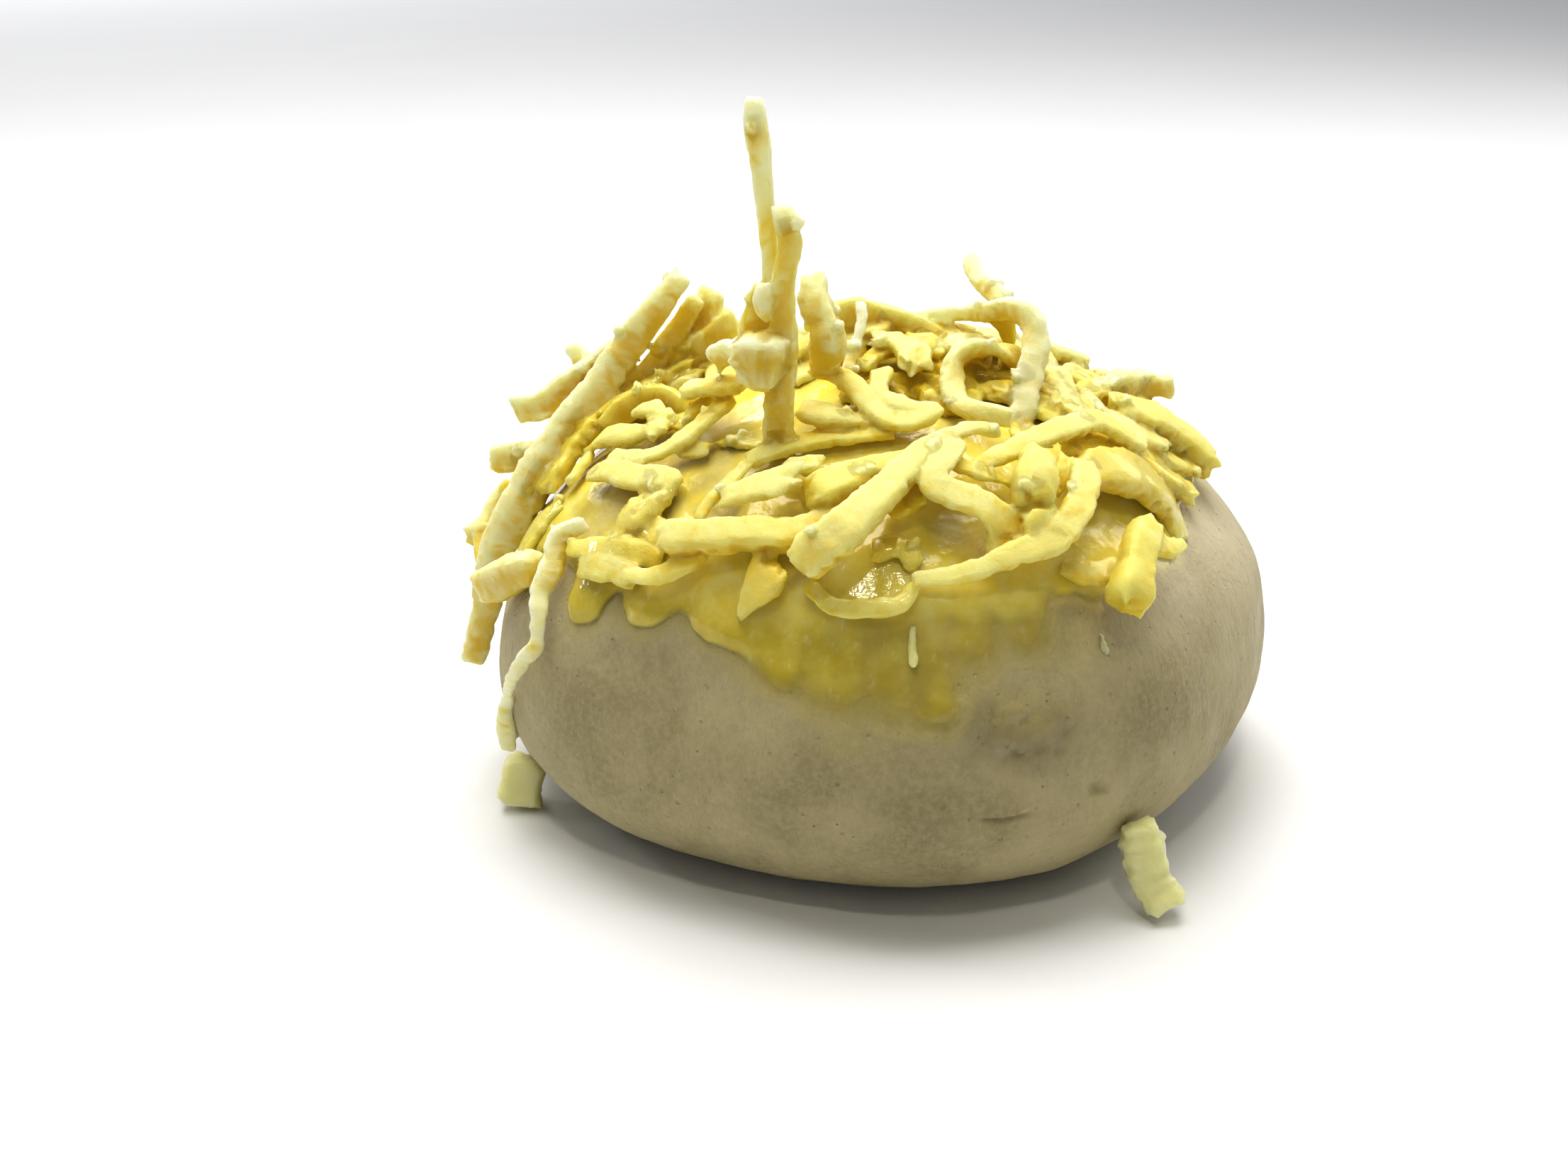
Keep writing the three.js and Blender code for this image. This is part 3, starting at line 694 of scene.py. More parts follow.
def through(points, spacing):
    """Points in an even row on a smooth line through the given ones, and how far along it they
    and the given ones are."""
    points = np.array(points, float)
    knots = np.vstack([2 * points[0] - points[1], points, 2 * points[-1] - points[-2]])
    share = np.linspace(0, 1, LINE_STEPS, endpoint=False)[:, None]
    fine = []
    gaps = [np.linalg.norm(end - start) ** 0.5 for start, end in zip(knots, knots[1:])]
    for i in range(1, len(points)):
        back, start, end, on = knots[i - 1 : i + 3]
        before, here, after = gaps[i - 1 : i + 2]
        step = (end - start) / here
        leave = ((start - back) / before - (end - back) / (before + here) + step) * here
        arrive = (step - (on - start) / (here + after) + (on - end) / after) * here
        fine.append(
            start * (2 * share**3 - 3 * share**2 + 1)
            + leave * (share**3 - 2 * share**2 + share)
            + end * (3 * share**2 - 2 * share**3)
            + arrive * (share**3 - share**2)
        )
    fine = np.vstack([*fine, points[-1:]])
    run = np.concatenate([[0], np.cumsum(np.linalg.norm(np.diff(fine, axis=0), axis=1))])
    length = run[-1]
    close = np.array(END_RINGS) * spacing * END_SPAN
    rings = max(2, round((length - 2 * close[-1]) / spacing))
    middle = np.linspace(close[-1], length - close[-1], rings + 1)[1:-1]
    at = np.concatenate([close, middle, length - close[::-1]])
    line = np.stack([np.interp(at, run, fine[:, axis]) for axis in range(3)], -1)
    return line, at, run[::LINE_STEPS]


def crown_facing(line):
    """Which way the crown faces at each point of a line that lies on it."""
    widths = np.array([DOUGH_RADIUS, DOUGH_RADIUS, DOUGH_HEIGHT - BELLY_HEIGHT])
    facing = (line - [0, 0, BELLY_HEIGHT]) / widths**2
    return facing / np.linalg.norm(facing, axis=1)[:, None]


def cross_axes(line, facing):
    """Axes along and across a line at each point: the first across it is on its wide side, and
    the second turns towards `facing`."""
    along = np.gradient(line, axis=0)
    along /= np.linalg.norm(along, axis=1)[:, None]
    wanted = np.cross(np.broadcast_to(facing, line.shape), along)
    side = wanted[np.argmax(np.linalg.norm(wanted, axis=1))]
    sides = []
    for tangent, better in zip(along, wanted):
        side = side + TURNING * better
        side = side - tangent * (side @ tangent)
        side /= np.linalg.norm(side)
        sides.append(side)
    sides = np.array(sides)
    return along, sides, np.cross(along, sides)


def shred(
    way, wide, thick=SHRED_THICK, ends=SHRED_TIP, facing=FORWARD, lumps=0.08, rag=0.3,
    ridges=0.06, nicks=0.4, cup=0.0, rough=0.12, tone=0.5, coat=0.0, grain=SHRED_GRAIN,
    sides=SHRED_SIDES, seed=1,
):
    """A flattened, uneven rod bent along a line: points, faces and the numbers at each point.

    way: points of its middle line; wide: its width, or the width at each of those points;
    lumps: slow changes of width; rag: raggedness of the ends; ridges: height of its lengthwise
    ribs; nicks: depth of the notches in its edges, the last three as shares of its half width;
    cup: how hollow its face is; rough: height of its fine grain; tone: from pale at 0 to yellow at
    1; coat: how wet with egg wash it is.
    """
    line, at, marks = through(way, grain)
    rings = len(line)
    length = at[-1]
    girth = np.interp(at, marks, wide) if isinstance(wide, tuple) else np.full(rings, float(wide))
    girth = girth * SHRED_SPARE
    broad = girth.max()
    own = np.array(SEED_STEP) * seed
    along, side, up = cross_axes(line, crown_facing(line) if facing is None else facing)
    slide = np.stack([at, np.zeros(rings), np.zeros(rings)], -1) + own
    sway = (0.05 + 0.2 * lumps) * broad
    line = line + side * (sway * noise(slide, 4.5, 40))[:, None]
    line = line + up * (0.6 * sway * noise(slide, 3.5, 41))[:, None]
    turn = TWIST * noise(slide, 9, 42)
    across = side * np.cos(turn)[:, None] + up * np.sin(turn)[:, None]
    lift = up * np.cos(turn)[:, None] - side * np.sin(turn)[:, None]
    half = 0.5 * girth
    half = half * (1 + lumps * 1.6 * noise(slide, 3.2, 43) + lumps * 0.6 * noise(slide, 1.2, 44))
    near = np.minimum(at, length - at)
    bend = np.clip(near / (END_ROUND * girth), 0, 1)
    half = half * (ends + (1 - ends) * np.sqrt(1 - (1 - bend) ** 2))
    theta = np.linspace(0, 2 * np.pi, sides, endpoint=False)
    flat = np.sign(np.cos(theta)) * np.abs(np.cos(theta)) ** (2 / SQUARENESS)
    high = np.sign(np.sin(theta)) * np.abs(np.sin(theta)) ** (2 / SQUARENESS)
    ring_noise = slide[:, None, :] + np.stack(
        [np.zeros(sides), 1.4 * np.cos(theta), 1.4 * np.sin(theta)], -1
    )
    edge = np.abs(np.cos(theta)) ** 4
    notch = nicks * edge * np.clip(noise(ring_noise, 0.8, 45) * 2 - 0.2, 0, 1)
    ribs = ridges * np.cos(5 * theta + seed) * (1 - edge)
    flat = flat * (1 - notch)
    high = high * (1 + ribs) + cup * (np.cos(theta) ** 2 - 0.4)
    points = line[:, None, :] + across[:, None, :] * (half[:, None] * flat)[..., None]
    points = points + lift[:, None, :] * (half[:, None] * thick * high)[..., None]
    ragged = rag * girth * (1 - np.clip(near / (END_RAGGED * girth), 0, 1))
    outward = np.where(at < length / 2, -1, 1)
    push = noise(ring_noise * np.array([0.3, 1, 1]), 0.8, 46) * (1.5 * ragged * outward)[:, None]
    points = points + along[:, None, :] * push[..., None]
    normal = across[:, None, :] * np.cos(theta)[:, None] + lift[:, None, :] * np.sin(theta)[:, None]
    strand = np.stack(np.broadcast_arrays(
        at[:, None] + STRAND_STEP * seed, 0.5 * broad * np.cos(theta), 0.5 * broad * np.sin(theta)
    ), -1)
    caps = np.stack([
        line[0] - along[0] * END_RISE * girth[0] + push[0].mean() * along[0],
        line[-1] + along[-1] * END_RISE * girth[-1] + push[-1].mean() * along[-1],
    ])
    points = np.vstack([points.reshape(-1, 3), caps])
    normal = np.vstack([normal.reshape(-1, 3), -along[:1], along[-1:]])
    strand = np.vstack([strand.reshape(-1, 3), strand[0].mean(0), strand[-1].mean(0)])
    count = len(points)
    return {
        "points": points,
        "normal": normal,
        "faces": tube_faces(rings, sides),
        "rough": np.full(count, rough),
        "tone": np.full(count, float(tone)),
        "coat": np.full(count, float(coat)),
        "strand": strand,  # place among its fibres
    }


def settled(look):
    """The look of a shred whose way is given by x, y and the distance out from the crown, facing
    out from it, with a painted yellow glow for the light that its neighbours cast on it."""
    tone = LYING_GLOW + (1 - LYING_GLOW) * look["tone"]
    return {**look, "way": on_crown(look["way"]), "facing": None, "tone": tone}


def on_crown(way):
    """The x, y and z of points given by x, y and how far they are out from the crown."""
    return [(x, y, crown_height(x, y, over - SETTLE)) for x, y, over in way]


# Shreds that stand up, arch over or hang down: x, y and z of their middle line. `wide` has their
# width, or the width at each of those points. Their wide side faces forward.
FREE_SHREDS = {
    # Standing in the middle.
    "tall_stand": dict(
        wide=(1.7, 2.3, 2.1, 1.7, 1.6, 1.6, 1.7), tone=0.1, lumps=0.05, rough=0.06, nicks=0.2, ends=0.8,
        ridges=0.08, way=[
            (-13.5, -13, 77), (-13.5, -13, 75), (-13, -13.5, 72), (-12.5, -14, 67), (-12, -14.5, 62.5),
            (-12, -15, 55), (-11.5, -15.5, 44.5),
        ],
    ),
    "thick_stand": dict(
        wide=(1.7, 2.2, 2.2, 2.3, 2.6, 2.9, 3.1), tone=0.3, lumps=0.05, rough=0.06, nicks=0.2,
        ends=0.85, way=[
            (-11, -15.5, 67.5), (-10.5, -16, 66.5), (-10, -16, 64.5), (-10.5, -16.5, 61),
            (-10.5, -16.5, 55.5), (-11, -17, 49.5), (-11, -17, 43.5),
        ],
    ),
    "stand_flank": dict(wide=(1.2, 2.0, 2.8), rag=0.4, tone=0.6, thick=0.5, way=[
        (-13, -15, 60), (-13.5, -15, 57.5), (-14, -15, 54),
    ]),
    "flake_stand": dict(wide=(1.6, 2.0, 0.7), thick=0.4, rag=0.4, tone=0.1, way=[
        (-12.5, -17, 60.5), (-12.5, -17.5, 58.5), (-12, -17.5, 57),
    ]),
    "stub_right": dict(wide=(2.6, 2.9, 2.8, 3.6, 2.6), tone=0.35, lumps=0.1, ends=0.85, thick=0.8, way=[
        (-8, -10, 59.5), (-8, -11, 57.5), (-7, -12, 55.5), (-6.5, -12.5, 53.5), (-7, -10.5, 50.5),
    ]),
    "stub_tip": dict(wide=1.1, ends=1, thick=0.9, way=[(-7.5, -10, 60), (-7.5, -10, 59)]),
    "thin_upright": dict(wide=1.2, tone=0, thick=0.5, way=[
        (-3.5, -4, 55.5), (-3.5, -5.5, 53.5), (-4, -7, 51.5), (-5.2, -9.8, 48.6),
    ]),
    "chunk": dict(wide=(4.4, 5.6, 4.8), thick=0.7, lumps=0.12, rag=0.15, rough=0.22, tone=0.1, way=[
        (-15, -16.5, 52.5), (-13, -17, 53.2), (-10.5, -17.5, 52.8),
    ]),
    "chunk_side": dict(wide=2.1, lumps=0.3, rag=0.4, tone=0.1, rough=0.15, way=[
        (-18, -10, 51), (-16, -12, 52.5), (-14.5, -15, 52.3),
    ]),
    # Over the left edge.
    "long_left": dict(
        wide=(2.3, 2.9, 3.4, 3.5, 3.9, 4.4, 4.4, 3.6, 3.0, 2.7), thick=0.5, ridges=0.14, cup=0.1,
        lumps=0.04, tone=0.15, ends=0.8, way=[
            (-23, 5, 55.5), (-25.5, 4, 52.5), (-28.5, 3.5, 49), (-31, 2.5, 45.5), (-34.5, 0.5, 41),
            (-38, -1.5, 36), (-41, -3.5, 31), (-43.5, -5, 26), (-44.5, -6, 20.5), (-46.5, -6.5, 14),
        ],
    ),
    "left_ridge": dict(wide=(1.9, 2.2, 2.2, 2.0, 1.7), tone=0.4, way=[
        (-21.5, 5.5, 53), (-24, 5, 49.5), (-27, 4, 45.5), (-30, 2.5, 43), (-32.5, 1.5, 40.5),
    ]),
    "left_rag": dict(
        wide=(3.3, 3.7, 3.7, 3.1, 2.4), thick=0.4, rag=0.6, lumps=0.15, nicks=0.5, rough=0.15,
        way=[(-20, 7, 53.5), (-21.5, 6.5, 50), (-24.5, 5.5, 46.5), (-28, 4.5, 43.5), (-30.5, 3, 41)],
    ),
    "left_rag_low": dict(
        wide=(2.2, 2.9, 2.8, 2.1), thick=0.5, rag=0.6, lumps=0.2, nicks=0.5, rough=0.15,
        way=[(-17.5, 6, 51), (-19.5, 5.5, 49), (-22.5, 5, 47), (-24, 4.5, 45)],
    ),
    "left_stub": dict(
        wide=(3.2, 3.3, 3.5, 3.5, 3.3), ends=0.95, ridges=0.16, cup=0.1, tone=0.1, lumps=0.04,
        way=[(-42, 4, 40.5), (-39, 4.5, 41), (-36.5, 5, 42.5), (-33.5, 5.5, 44.5), (-29.5, 5, 47.5)],
    ),
    "back_nub": dict(wide=(2.1, 2.4, 2.3), lumps=0.15, tone=0.1, way=[
        (-36.5, 9, 46.5), (-35, 8.5, 45), (-34.2, 6, 43.5),
    ]),
    "left_back_stub": dict(wide=(3.1, 3.4, 3.3, 2.8), ends=0.9, tone=0.35, way=[
        (-45, 4, 34.5), (-42, 3.5, 35), (-38.5, 1.5, 36), (-37, 0, 36.5),
    ]),
    "left_parallel": dict(wide=(2.5, 2.7, 2.7, 2.3), tone=0.35, way=[
        (-42.5, 1.5, 32.5), (-44, 0.5, 30), (-45, -1.5, 27.5), (-44.5, -4.5, 24.5),
    ]),
    "left_nub": dict(wide=(2.8, 2.7), rag=0.4, nicks=0.3, tone=0.3, way=[
        (-47, -1, 27.5), (-44.5, -1.5, 27.5),
    ]),
    "left_blob": dict(wide=(3.2, 4.0, 3.4), lumps=0.1, rough=0.07, thick=0.8, tone=0.35, coat=0.3, way=[
        (-36, -17.5, 31), (-40, -14, 28), (-43, -12, 26),
    ]),
    "left_arc": dict(wide=(2.4, 3.0, 2.8, 2.4, 2.2), coat=1.0, tone=0.9, way=[
        (-31, -2, 40.5), (-29, -1, 42.5), (-26.5, -0.5, 43.5), (-24.5, -1, 44), (-22, -3, 43.5),
    ]),
    "wavy_strip": dict(
        wide=(1.7, 2.4, 2.4, 2.1, 1.9, 1.4, 1.7, 1.7, 1.3, 1.1, 1.6, 2.1, 2.0, 1.8), thick=0.4,
        nicks=0.5, lumps=0.05, tone=0.1, rough=0.1, way=[
            (-30.8, -17, 35.5), (-33.5, -17.5, 34), (-34, -19.5, 31.5), (-35, -21, 29.5),
            (-35, -22.5, 28), (-35, -23.5, 26), (-35, -24, 25), (-36.5, -23, 23), (-38, -22, 20.5),
            (-39.5, -19.5, 17), (-40, -18, 15), (-40.5, -17.5, 13), (-40.5, -17, 11),
            (-40.5, -16.5, 8.5),
        ],
    ),
    # Arches and curls on the middle and the right.
    "back_arch_dark": dict(wide=(2.8, 2.9, 2.9, 2.9, 2.7, 2.4), tone=0.6, lumps=0.06, way=[
        (-9, 0, 52.5), (-4.5, 1.5, 53), (-1, 3, 52), (3, 3.5, 50.5), (5.5, 2.5, 49), (7, 1, 47.5),
    ]),
    "curl": dict(wide=(2.2, 2.3, 2.5, 2.6, 2.3, 2.0, 2.0), tone=0.5, lumps=0.06, way=[
        (13.5, -2, 49), (10.5, -3.5, 50.5), (7, -6, 51), (6, -9, 49), (6.5, -12, 47.5), (9, -13.5, 47),
        (11.5, -13.5, 46.5),
    ]),
    "big_arch": dict(wide=(1.5, 1.7, 2.0, 2.5, 2.8, 2.8, 2.8, 2.7, 2.5), tone=0.1, lumps=0.05, way=[
        (2.5, 4.5, 51.5), (6.5, 3.5, 52.5), (9.5, 2, 53), (12, 0, 54), (14, -2, 53.5),
        (14.5, -3.5, 51.5), (14, -5.5, 49), (13.5, -7.5, 47), (13, -9.5, 44.5),
    ]),
    "back_whip": dict(wide=(1.8, 1.9, 2.1, 2.2), tone=0.1, ends=0.85, way=[
        (8, 9, 57.5), (8.5, 7, 56), (10, 5, 55), (12, 1.5, 54),
    ]),
    # Its full yellow tone is painted shade: it lies in shade behind the arch.
    "arch_stub": dict(wide=(2.7, 2.1, 0.8), tone=1.0, way=[
        (11, 2.5, 53), (12, 2.5, 51), (12.5, 2, 49),
    ]),
    "right_bone": dict(
        wide=(2.6, 3.4, 3.0, 2.1, 3.0), thick=0.85, ends=0.9, lumps=0.2, rough=0.2, tone=0.4,
        way=[(21.5, 2, 44), (25, 4.5, 44.5), (27.5, 7, 44), (29.5, 7.5, 43.5), (30.5, 8, 43.5)],
    ),
}

# Shreds that lie on the others or on the dough: x, y and the distance out from the crown.
LYING_SHREDS = {
    # On the left of the crown.
    "left_shoulder": dict(wide=(4.0, 5.5, 6.0, 6.0, 5.0), thick=0.35, coat=0.8, tone=0.9, way=[
        (-22, 5, 4.2), (-27, 4, 4.2), (-31.5, 2, 4.0), (-35, -1, 3.4), (-37.5, -4.5, 2.6),
    ]),
    "left_slim": dict(wide=(1.2, 2.7, 2.6, 1.5), tone=0.35, way=[
        (-32.5, -4, 2.6), (-30, -5, 2.7), (-27, -8, 2.7), (-25, -9, 2.6),
    ]),
    "left_chip": dict(wide=(1.6, 2.0, 0.9), rag=0.6, lumps=0.3, nicks=0.5, rough=0.2, tone=0.2, way=[
        (-27, -3, 3.2), (-25, -5.5, 3.2), (-23, -8, 3.1),
    ]),
    "left_chip_down": dict(wide=(1.8, 2.1), rag=0.5, lumps=0.3, rough=0.2, tone=0.2, way=[
        (-25.5, -3, 2.9), (-24, -10.5, 2.7),
    ]),
    # Its deep yellow tone is a painted golden glow of light in the cheese, while its coat of egg wash
    # is real.
    "left_glow": dict(wide=(1.9, 1.5), coat=1, tone=0.9, lumps=0.3, way=[
        (-23.5, -7.5, 1.9), (-21, -9.5, 2),
    ]),
    "left_curl": dict(wide=(1.7, 1.9, 2.0, 2.1, 2.3, 2.3), nicks=0.4, tone=0.15, way=[
        (-29, -9.5, 2.4), (-25, -13.5, 2.6), (-22, -14, 2.9), (-19.5, -13, 3.3), (-17.5, -11.5, 3.6),
        (-16.5, -10.5, 3.9),
    ]),
    "curl_side": dict(wide=(1.4, 1.9, 1.6), tone=0.4, way=[
        (-21, -10.5, 2.9), (-20, -9, 3.3), (-18.5, -8.5, 3.5),
    ]),
    "left_rod": dict(wide=(2.5, 2.8, 2.7), tone=0.25, way=[
        (-21.5, -8, 4.9), (-18.5, -9.5, 5.1), (-15, -11.5, 5.6),
    ]),
    "left_under": dict(wide=(1.3, 1.7), rag=0.5, lumps=0.3, rough=0.2, tone=0, way=[
        (-21, -14, 1.9), (-18.5, -14.5, 1.9),
    ]),
    "left_crumbly": dict(wide=1.3, rag=0.5, lumps=0.4, rough=0.2, coat=0.8, tone=0.4, way=[
        (-18, -13, 1.5), (-15, -14, 1.3), (-13, -15, 1.4),
    ]),
    "left_thick": dict(wide=(1.9, 2.6, 2.9, 2.7, 2.1), ends=0.85, tone=0.25, nicks=0.2, way=[
        (-31, -10.5, 2.3), (-29, -12.5, 2.6), (-25.5, -16, 2.7), (-22, -18, 2.6), (-21, -19, 2.5),
    ]),
    "left_bit": dict(wide=2.0, tone=0.3, way=[(-34, -8, 2.1), (-33, -6.5, 2.2), (-32.5, -4, 2.1)]),
    "left_coated": dict(
        wide=(2.6, 4.4, 3.6), thick=0.5, coat=0.7, lumps=0.4, rag=0.7, rough=0.3, tone=0.45,
        way=[(-27, -21, 2.1), (-25.5, -20.5, 2.5), (-23.5, -19.5, 2.6)],
    ),
    "left_coated_low": dict(
        wide=(1.8, 2.6, 2.0), thick=0.5, coat=0.9, lumps=0.4, rag=0.7, rough=0.25, tone=0.4,
        way=[(-26.5, -19.5, 1.8), (-23.5, -22, 1.9), (-20.5, -23.5, 1.8)],
    ),
    "left_coated_top": dict(
        wide=(2.2, 2.4), thick=0.6, coat=0.8, lumps=0.4, rag=0.7, rough=0.25, tone=0.4,
        way=[(-24.5, -17.5, 1.9), (-21.5, -19.5, 2.0)],
    ),
    "left_drape": dict(wide=(2.6, 3.3, 2.7), thick=0.35, coat=0.9, tone=0.7, way=[
        (-35, -8.5, 1.1), (-37, -9, 1.3), (-39, -10.5, 1.5),
    ]),
    "front_left_upper": dict(wide=(2.0, 2.6, 2.6, 2.0), coat=0.5, tone=0.55, rag=0.5, thick=0.4, way=[
        (-32, -19, 2.3), (-28.5, -21.5, 2.5), (-25, -23.5, 2.5), (-22, -25, 2.2),
    ]),
    "front_left_flake": dict(
        wide=(1.8, 3.1, 2.5), thick=0.35, rag=0.6, nicks=0.6, tone=0, rough=0.12,
        way=[(-30.5, -22, 2.5), (-27.5, -24, 2.8), (-24.5, -26, 2.8)],
    ),
    "front_left_pale": dict(wide=(1.4, 2.0, 2.3, 2.2), tone=0, rag=0.3, way=[
        (-25.5, -26, 3.3), (-22, -27.5, 3.5), (-19.5, -27.5, 3.5), (-17.5, -26.5, 3.1),
    ]),
    # Across the front.
    "front_lying": dict(
        wide=(2.0, 3.0, 3.2, 3.3, 3.2, 2.8), thick=0.75, tone=0.25, ridges=0.08, rag=0.3, way=[
            (-22, -25.5, 4.1), (-20.5, -26, 4.3), (-17, -27, 4.3), (-12, -27.5, 3.9),
            (-8.5, -27.5, 3.5), (-5, -26.5, 3.1),
        ],
    ),
    "front_flake": dict(wide=(2.3, 3.1, 3.9), thick=0.3, rag=0.8, nicks=0.5, tone=0, lumps=0.05, way=[
        (-16, -24, 4.3), (-13, -24.5, 4.9), (-9.5, -24.5, 5.1),
    ]),
    "base_strip": dict(wide=(1.2, 1.5, 1.5, 1.4), tone=0.4, coat=0.3, way=[
        (-18.5, -24, 3.1), (-17, -22.5, 3.3), (-15.5, -21.5, 3.3), (-14, -19.5, 3.1),
    ]),
    "front_base": dict(wide=(2.1, 2.4, 2.4, 2.1, 1.7), tone=0.5, way=[
        (-14, -18.5, 2.5), (-11, -18, 2.7), (-7.5, -17, 2.5), (-3.5, -16.5, 2.3), (0, -16, 2.1),
    ]),
    "front_chunk": dict(wide=(1.8, 2.3), rag=0.7, lumps=0.3, rough=0.2, tone=0.2, way=[
        (-10, -21, 3.7), (-7, -21.5, 3.4),
    ]),
    "front_cone": dict(wide=(3.3, 3.9, 3.4, 2.6, 2.0, 1.8), thick=0.85, ends=0.8, tone=0.5, way=[
        (-7.5, -24.5, 3.7), (-6.5, -24.5, 3.7), (-4, -23.5, 3.5), (-1.5, -22, 3.1), (1.5, -20.5, 2.8),
        (3, -19.5, 2.5),
    ]),
    "front_cross": dict(
        wide=(3.5, 4.1, 3.9, 3.5, 3.0, 2.5, 1.9, 1.6, 1.5), ends=0.85, thick=0.6, tone=0.1, ridges=0.07,
        lumps=0.04, way=[
            (-8, -32, 5.5), (-6.5, -31.5, 5.9), (-4.5, -31, 6.5), (-2, -29, 6.3), (0.5, -26, 5.7),
            (2.5, -23, 5.2), (4.5, -20.5, 4.8), (7.5, -18, 4.5), (10.5, -17, 4.3),
        ],
    ),
    "cross_under": dict(wide=(1.7, 2.4, 1.9), tone=0.8, coat=0.4, way=[
        (3.5, -23, 3.9), (2, -25, 3.3), (0, -25.5, 2.5),
    ]),
    "front_coated": dict(wide=(2.3, 2.7, 2.2, 1.7), coat=1.0, tone=0.8, lumps=0.3, rough=0.2, way=[
        (-1.5, -27.5, 1.5), (0.5, -27.5, 1.8), (2, -28, 1.8), (2, -29, 1.6),
    ]),
    "front_bow": dict(wide=(1.6, 1.7, 1.8, 1.7, 1.4), coat=0.5, tone=0.1, way=[
        (-7.5, -29.5, 1.7), (-5, -31.5, 1.9), (-2, -32, 2.1), (1, -32, 2.2), (2.5, -31, 2.3),
    ]),
    "front_wedge": dict(wide=(4.0, 3.4, 1.0), coat=0.3, tone=0.15, rag=0.5, thick=0.45, way=[
        (-10.5, -29, 2.9), (-12, -30, 2.7), (-14, -31, 2.2),
    ]),
    "long_hook": dict(wide=(1.6, 1.8, 2.2, 2.5, 2.8, 2.9, 3.0, 2.5), tone=0.1, lumps=0.05, way=[
        (2.5, -30.5, 2.3), (6, -30.5, 3.0), (9.5, -30, 3.9), (13, -29, 4.8), (15.5, -28, 5.5),
        (17.5, -25, 5.7), (18.5, -21, 5.3), (18.5, -18.5, 4.9),
    ]),
    "pale_ribbon": dict(
        wide=(2.3, 2.5, 2.8, 2.8, 3.0, 3.3, 3.2), thick=0.35, nicks=0.45, lumps=0.05, tone=0, way=[
            (6.5, -20.5, 4.9), (5, -23.5, 5.5), (4, -26, 5.5), (6, -26.5, 5.3), (8.5, -26.5, 4.9),
            (10.5, -27, 4.3), (10.5, -28, 2.7),
        ],
    ),
    "pointed_flake": dict(wide=(1.8, 1.8, 0.5), thick=0.4, rag=0.3, tone=0.1, way=[
        (6, -22, 4.1), (8.5, -22, 3.7), (11.5, -22, 3.4),
    ]),
    "fat_up": dict(wide=(2.8, 4.1, 4.0), thick=0.8, ends=0.75, lumps=0.06, tone=0.5, way=[
        (14, -21, 5.9), (13.5, -23.5, 5.9), (13.5, -25.5, 5.5),
    ]),
    "fat_low": dict(wide=(3.7, 3.6, 3.1), thick=0.85, lumps=0.06, tone=0.5, way=[
        (13.5, -25.5, 4.9), (14, -26.5, 4.1), (13.5, -27, 2.9),
    ]),
    "rough_bit": dict(wide=(1.6, 1.9, 1.5), rag=0.5, lumps=0.3, rough=0.2, tone=0.5, way=[
        (17, -18.5, 4.9), (16.5, -20, 4.3), (16, -21, 3.3),
    ]),
    "right_curve": dict(wide=(2.0, 2.7, 2.4, 2.2), coat=0.4, lumps=0.2, rag=0.3, tone=0.15, way=[
        (16.5, -25.5, 1.4), (19.5, -25.5, 2.4), (22.5, -25.2, 3.8), (24, -25.5, 4.6),
    ]),
    "bone": dict(wide=(2.8, 3.5, 2.9, 4.0, 3.8), thick=0.85, tone=0.6, lumps=0.06, way=[
        (25, -20, 4.3), (24, -23.5, 4.9), (23.5, -25.5, 5.1), (23, -27.5, 5.1), (22.5, -29, 4.9),
    ]),
    "bone_tab": dict(wide=(2.4, 2.3, 1.1), tone=0.3, way=[
        (24.5, -23, 4.9), (27, -21, 4.5), (29, -18.5, 4.1),
    ]),
    # On the middle and the right.
    "u_strand": dict(wide=(2.0, 2.3, 2.4, 2.4, 2.2, 2.5, 2.5), tone=0.2, lumps=0.06, way=[
        (-8, -10, 5.1), (-5.5, -11, 4.9), (-3.5, -12.5, 4.3), (-2, -14.5, 3.5), (0.5, -16, 3.1),
        (3, -15, 3.1), (4, -13.5, 3.1),
    ]),
    "middle_wedge": dict(wide=(2.4, 2.8, 2.0, 0.8), tone=0.1, way=[
        (-9, -14.5, 3.9), (-6.5, -15.5, 3.7), (-4, -15.5, 3.1), (-1.5, -15.5, 2.5),
    ]),
    "middle_flake": dict(
        wide=(1.6, 2.1, 2.1, 1.7), thick=0.5, rag=0.5, nicks=0.5, lumps=0.3, rough=0.2, tone=0.2,
        way=[(-1, -7.5, 3.5), (-1.5, -11.5, 3.5), (0, -13.5, 3.5), (2.5, -14, 3.3)],
    ),
    "mid_back": dict(wide=1.9, tone=0.5, way=[
        (-3.5, -7, 3.5), (-1.5, -3.5, 3.5), (1.5, -1.5, 3.5), (5, -2, 3.5),
    ]),
    "back_arch_bright": dict(wide=2.7, tone=0.5, way=[(-9, 11, 2.6), (-3, 13, 2.8), (4.5, 11.5, 2.2)]),
    # Its deep yellow tone is painted shade: it lies in shade beside the arch's leg.
    "right_dark": dict(wide=(2.6, 2.8, 2.4), tone=0.9, lumps=0.2, way=[
        (17, 4, 2.4), (17, -2.5, 2.2), (15.5, -9, 2.2),
    ]),
    "right_thin": dict(wide=1.9, lumps=0.25, tone=0.4, way=[(16.5, 3, 2.6), (22.5, 5, 2.4)]),
    "right_ledge": dict(wide=(4.0, 5.0, 4.6), thick=0.6, lumps=0.12, rag=0.3, tone=0.4, way=[
        (23, -2, 2.8), (28.5, -1, 3.2), (34, 1, 2.8),
    ]),
    "right_ledge_low": dict(wide=(1.9, 2.2, 2.0), lumps=0.2, tone=0.2, way=[
        (27, -6, 2), (29.5, -4.5, 2.2), (32.5, -2.5, 2.2),
    ]),
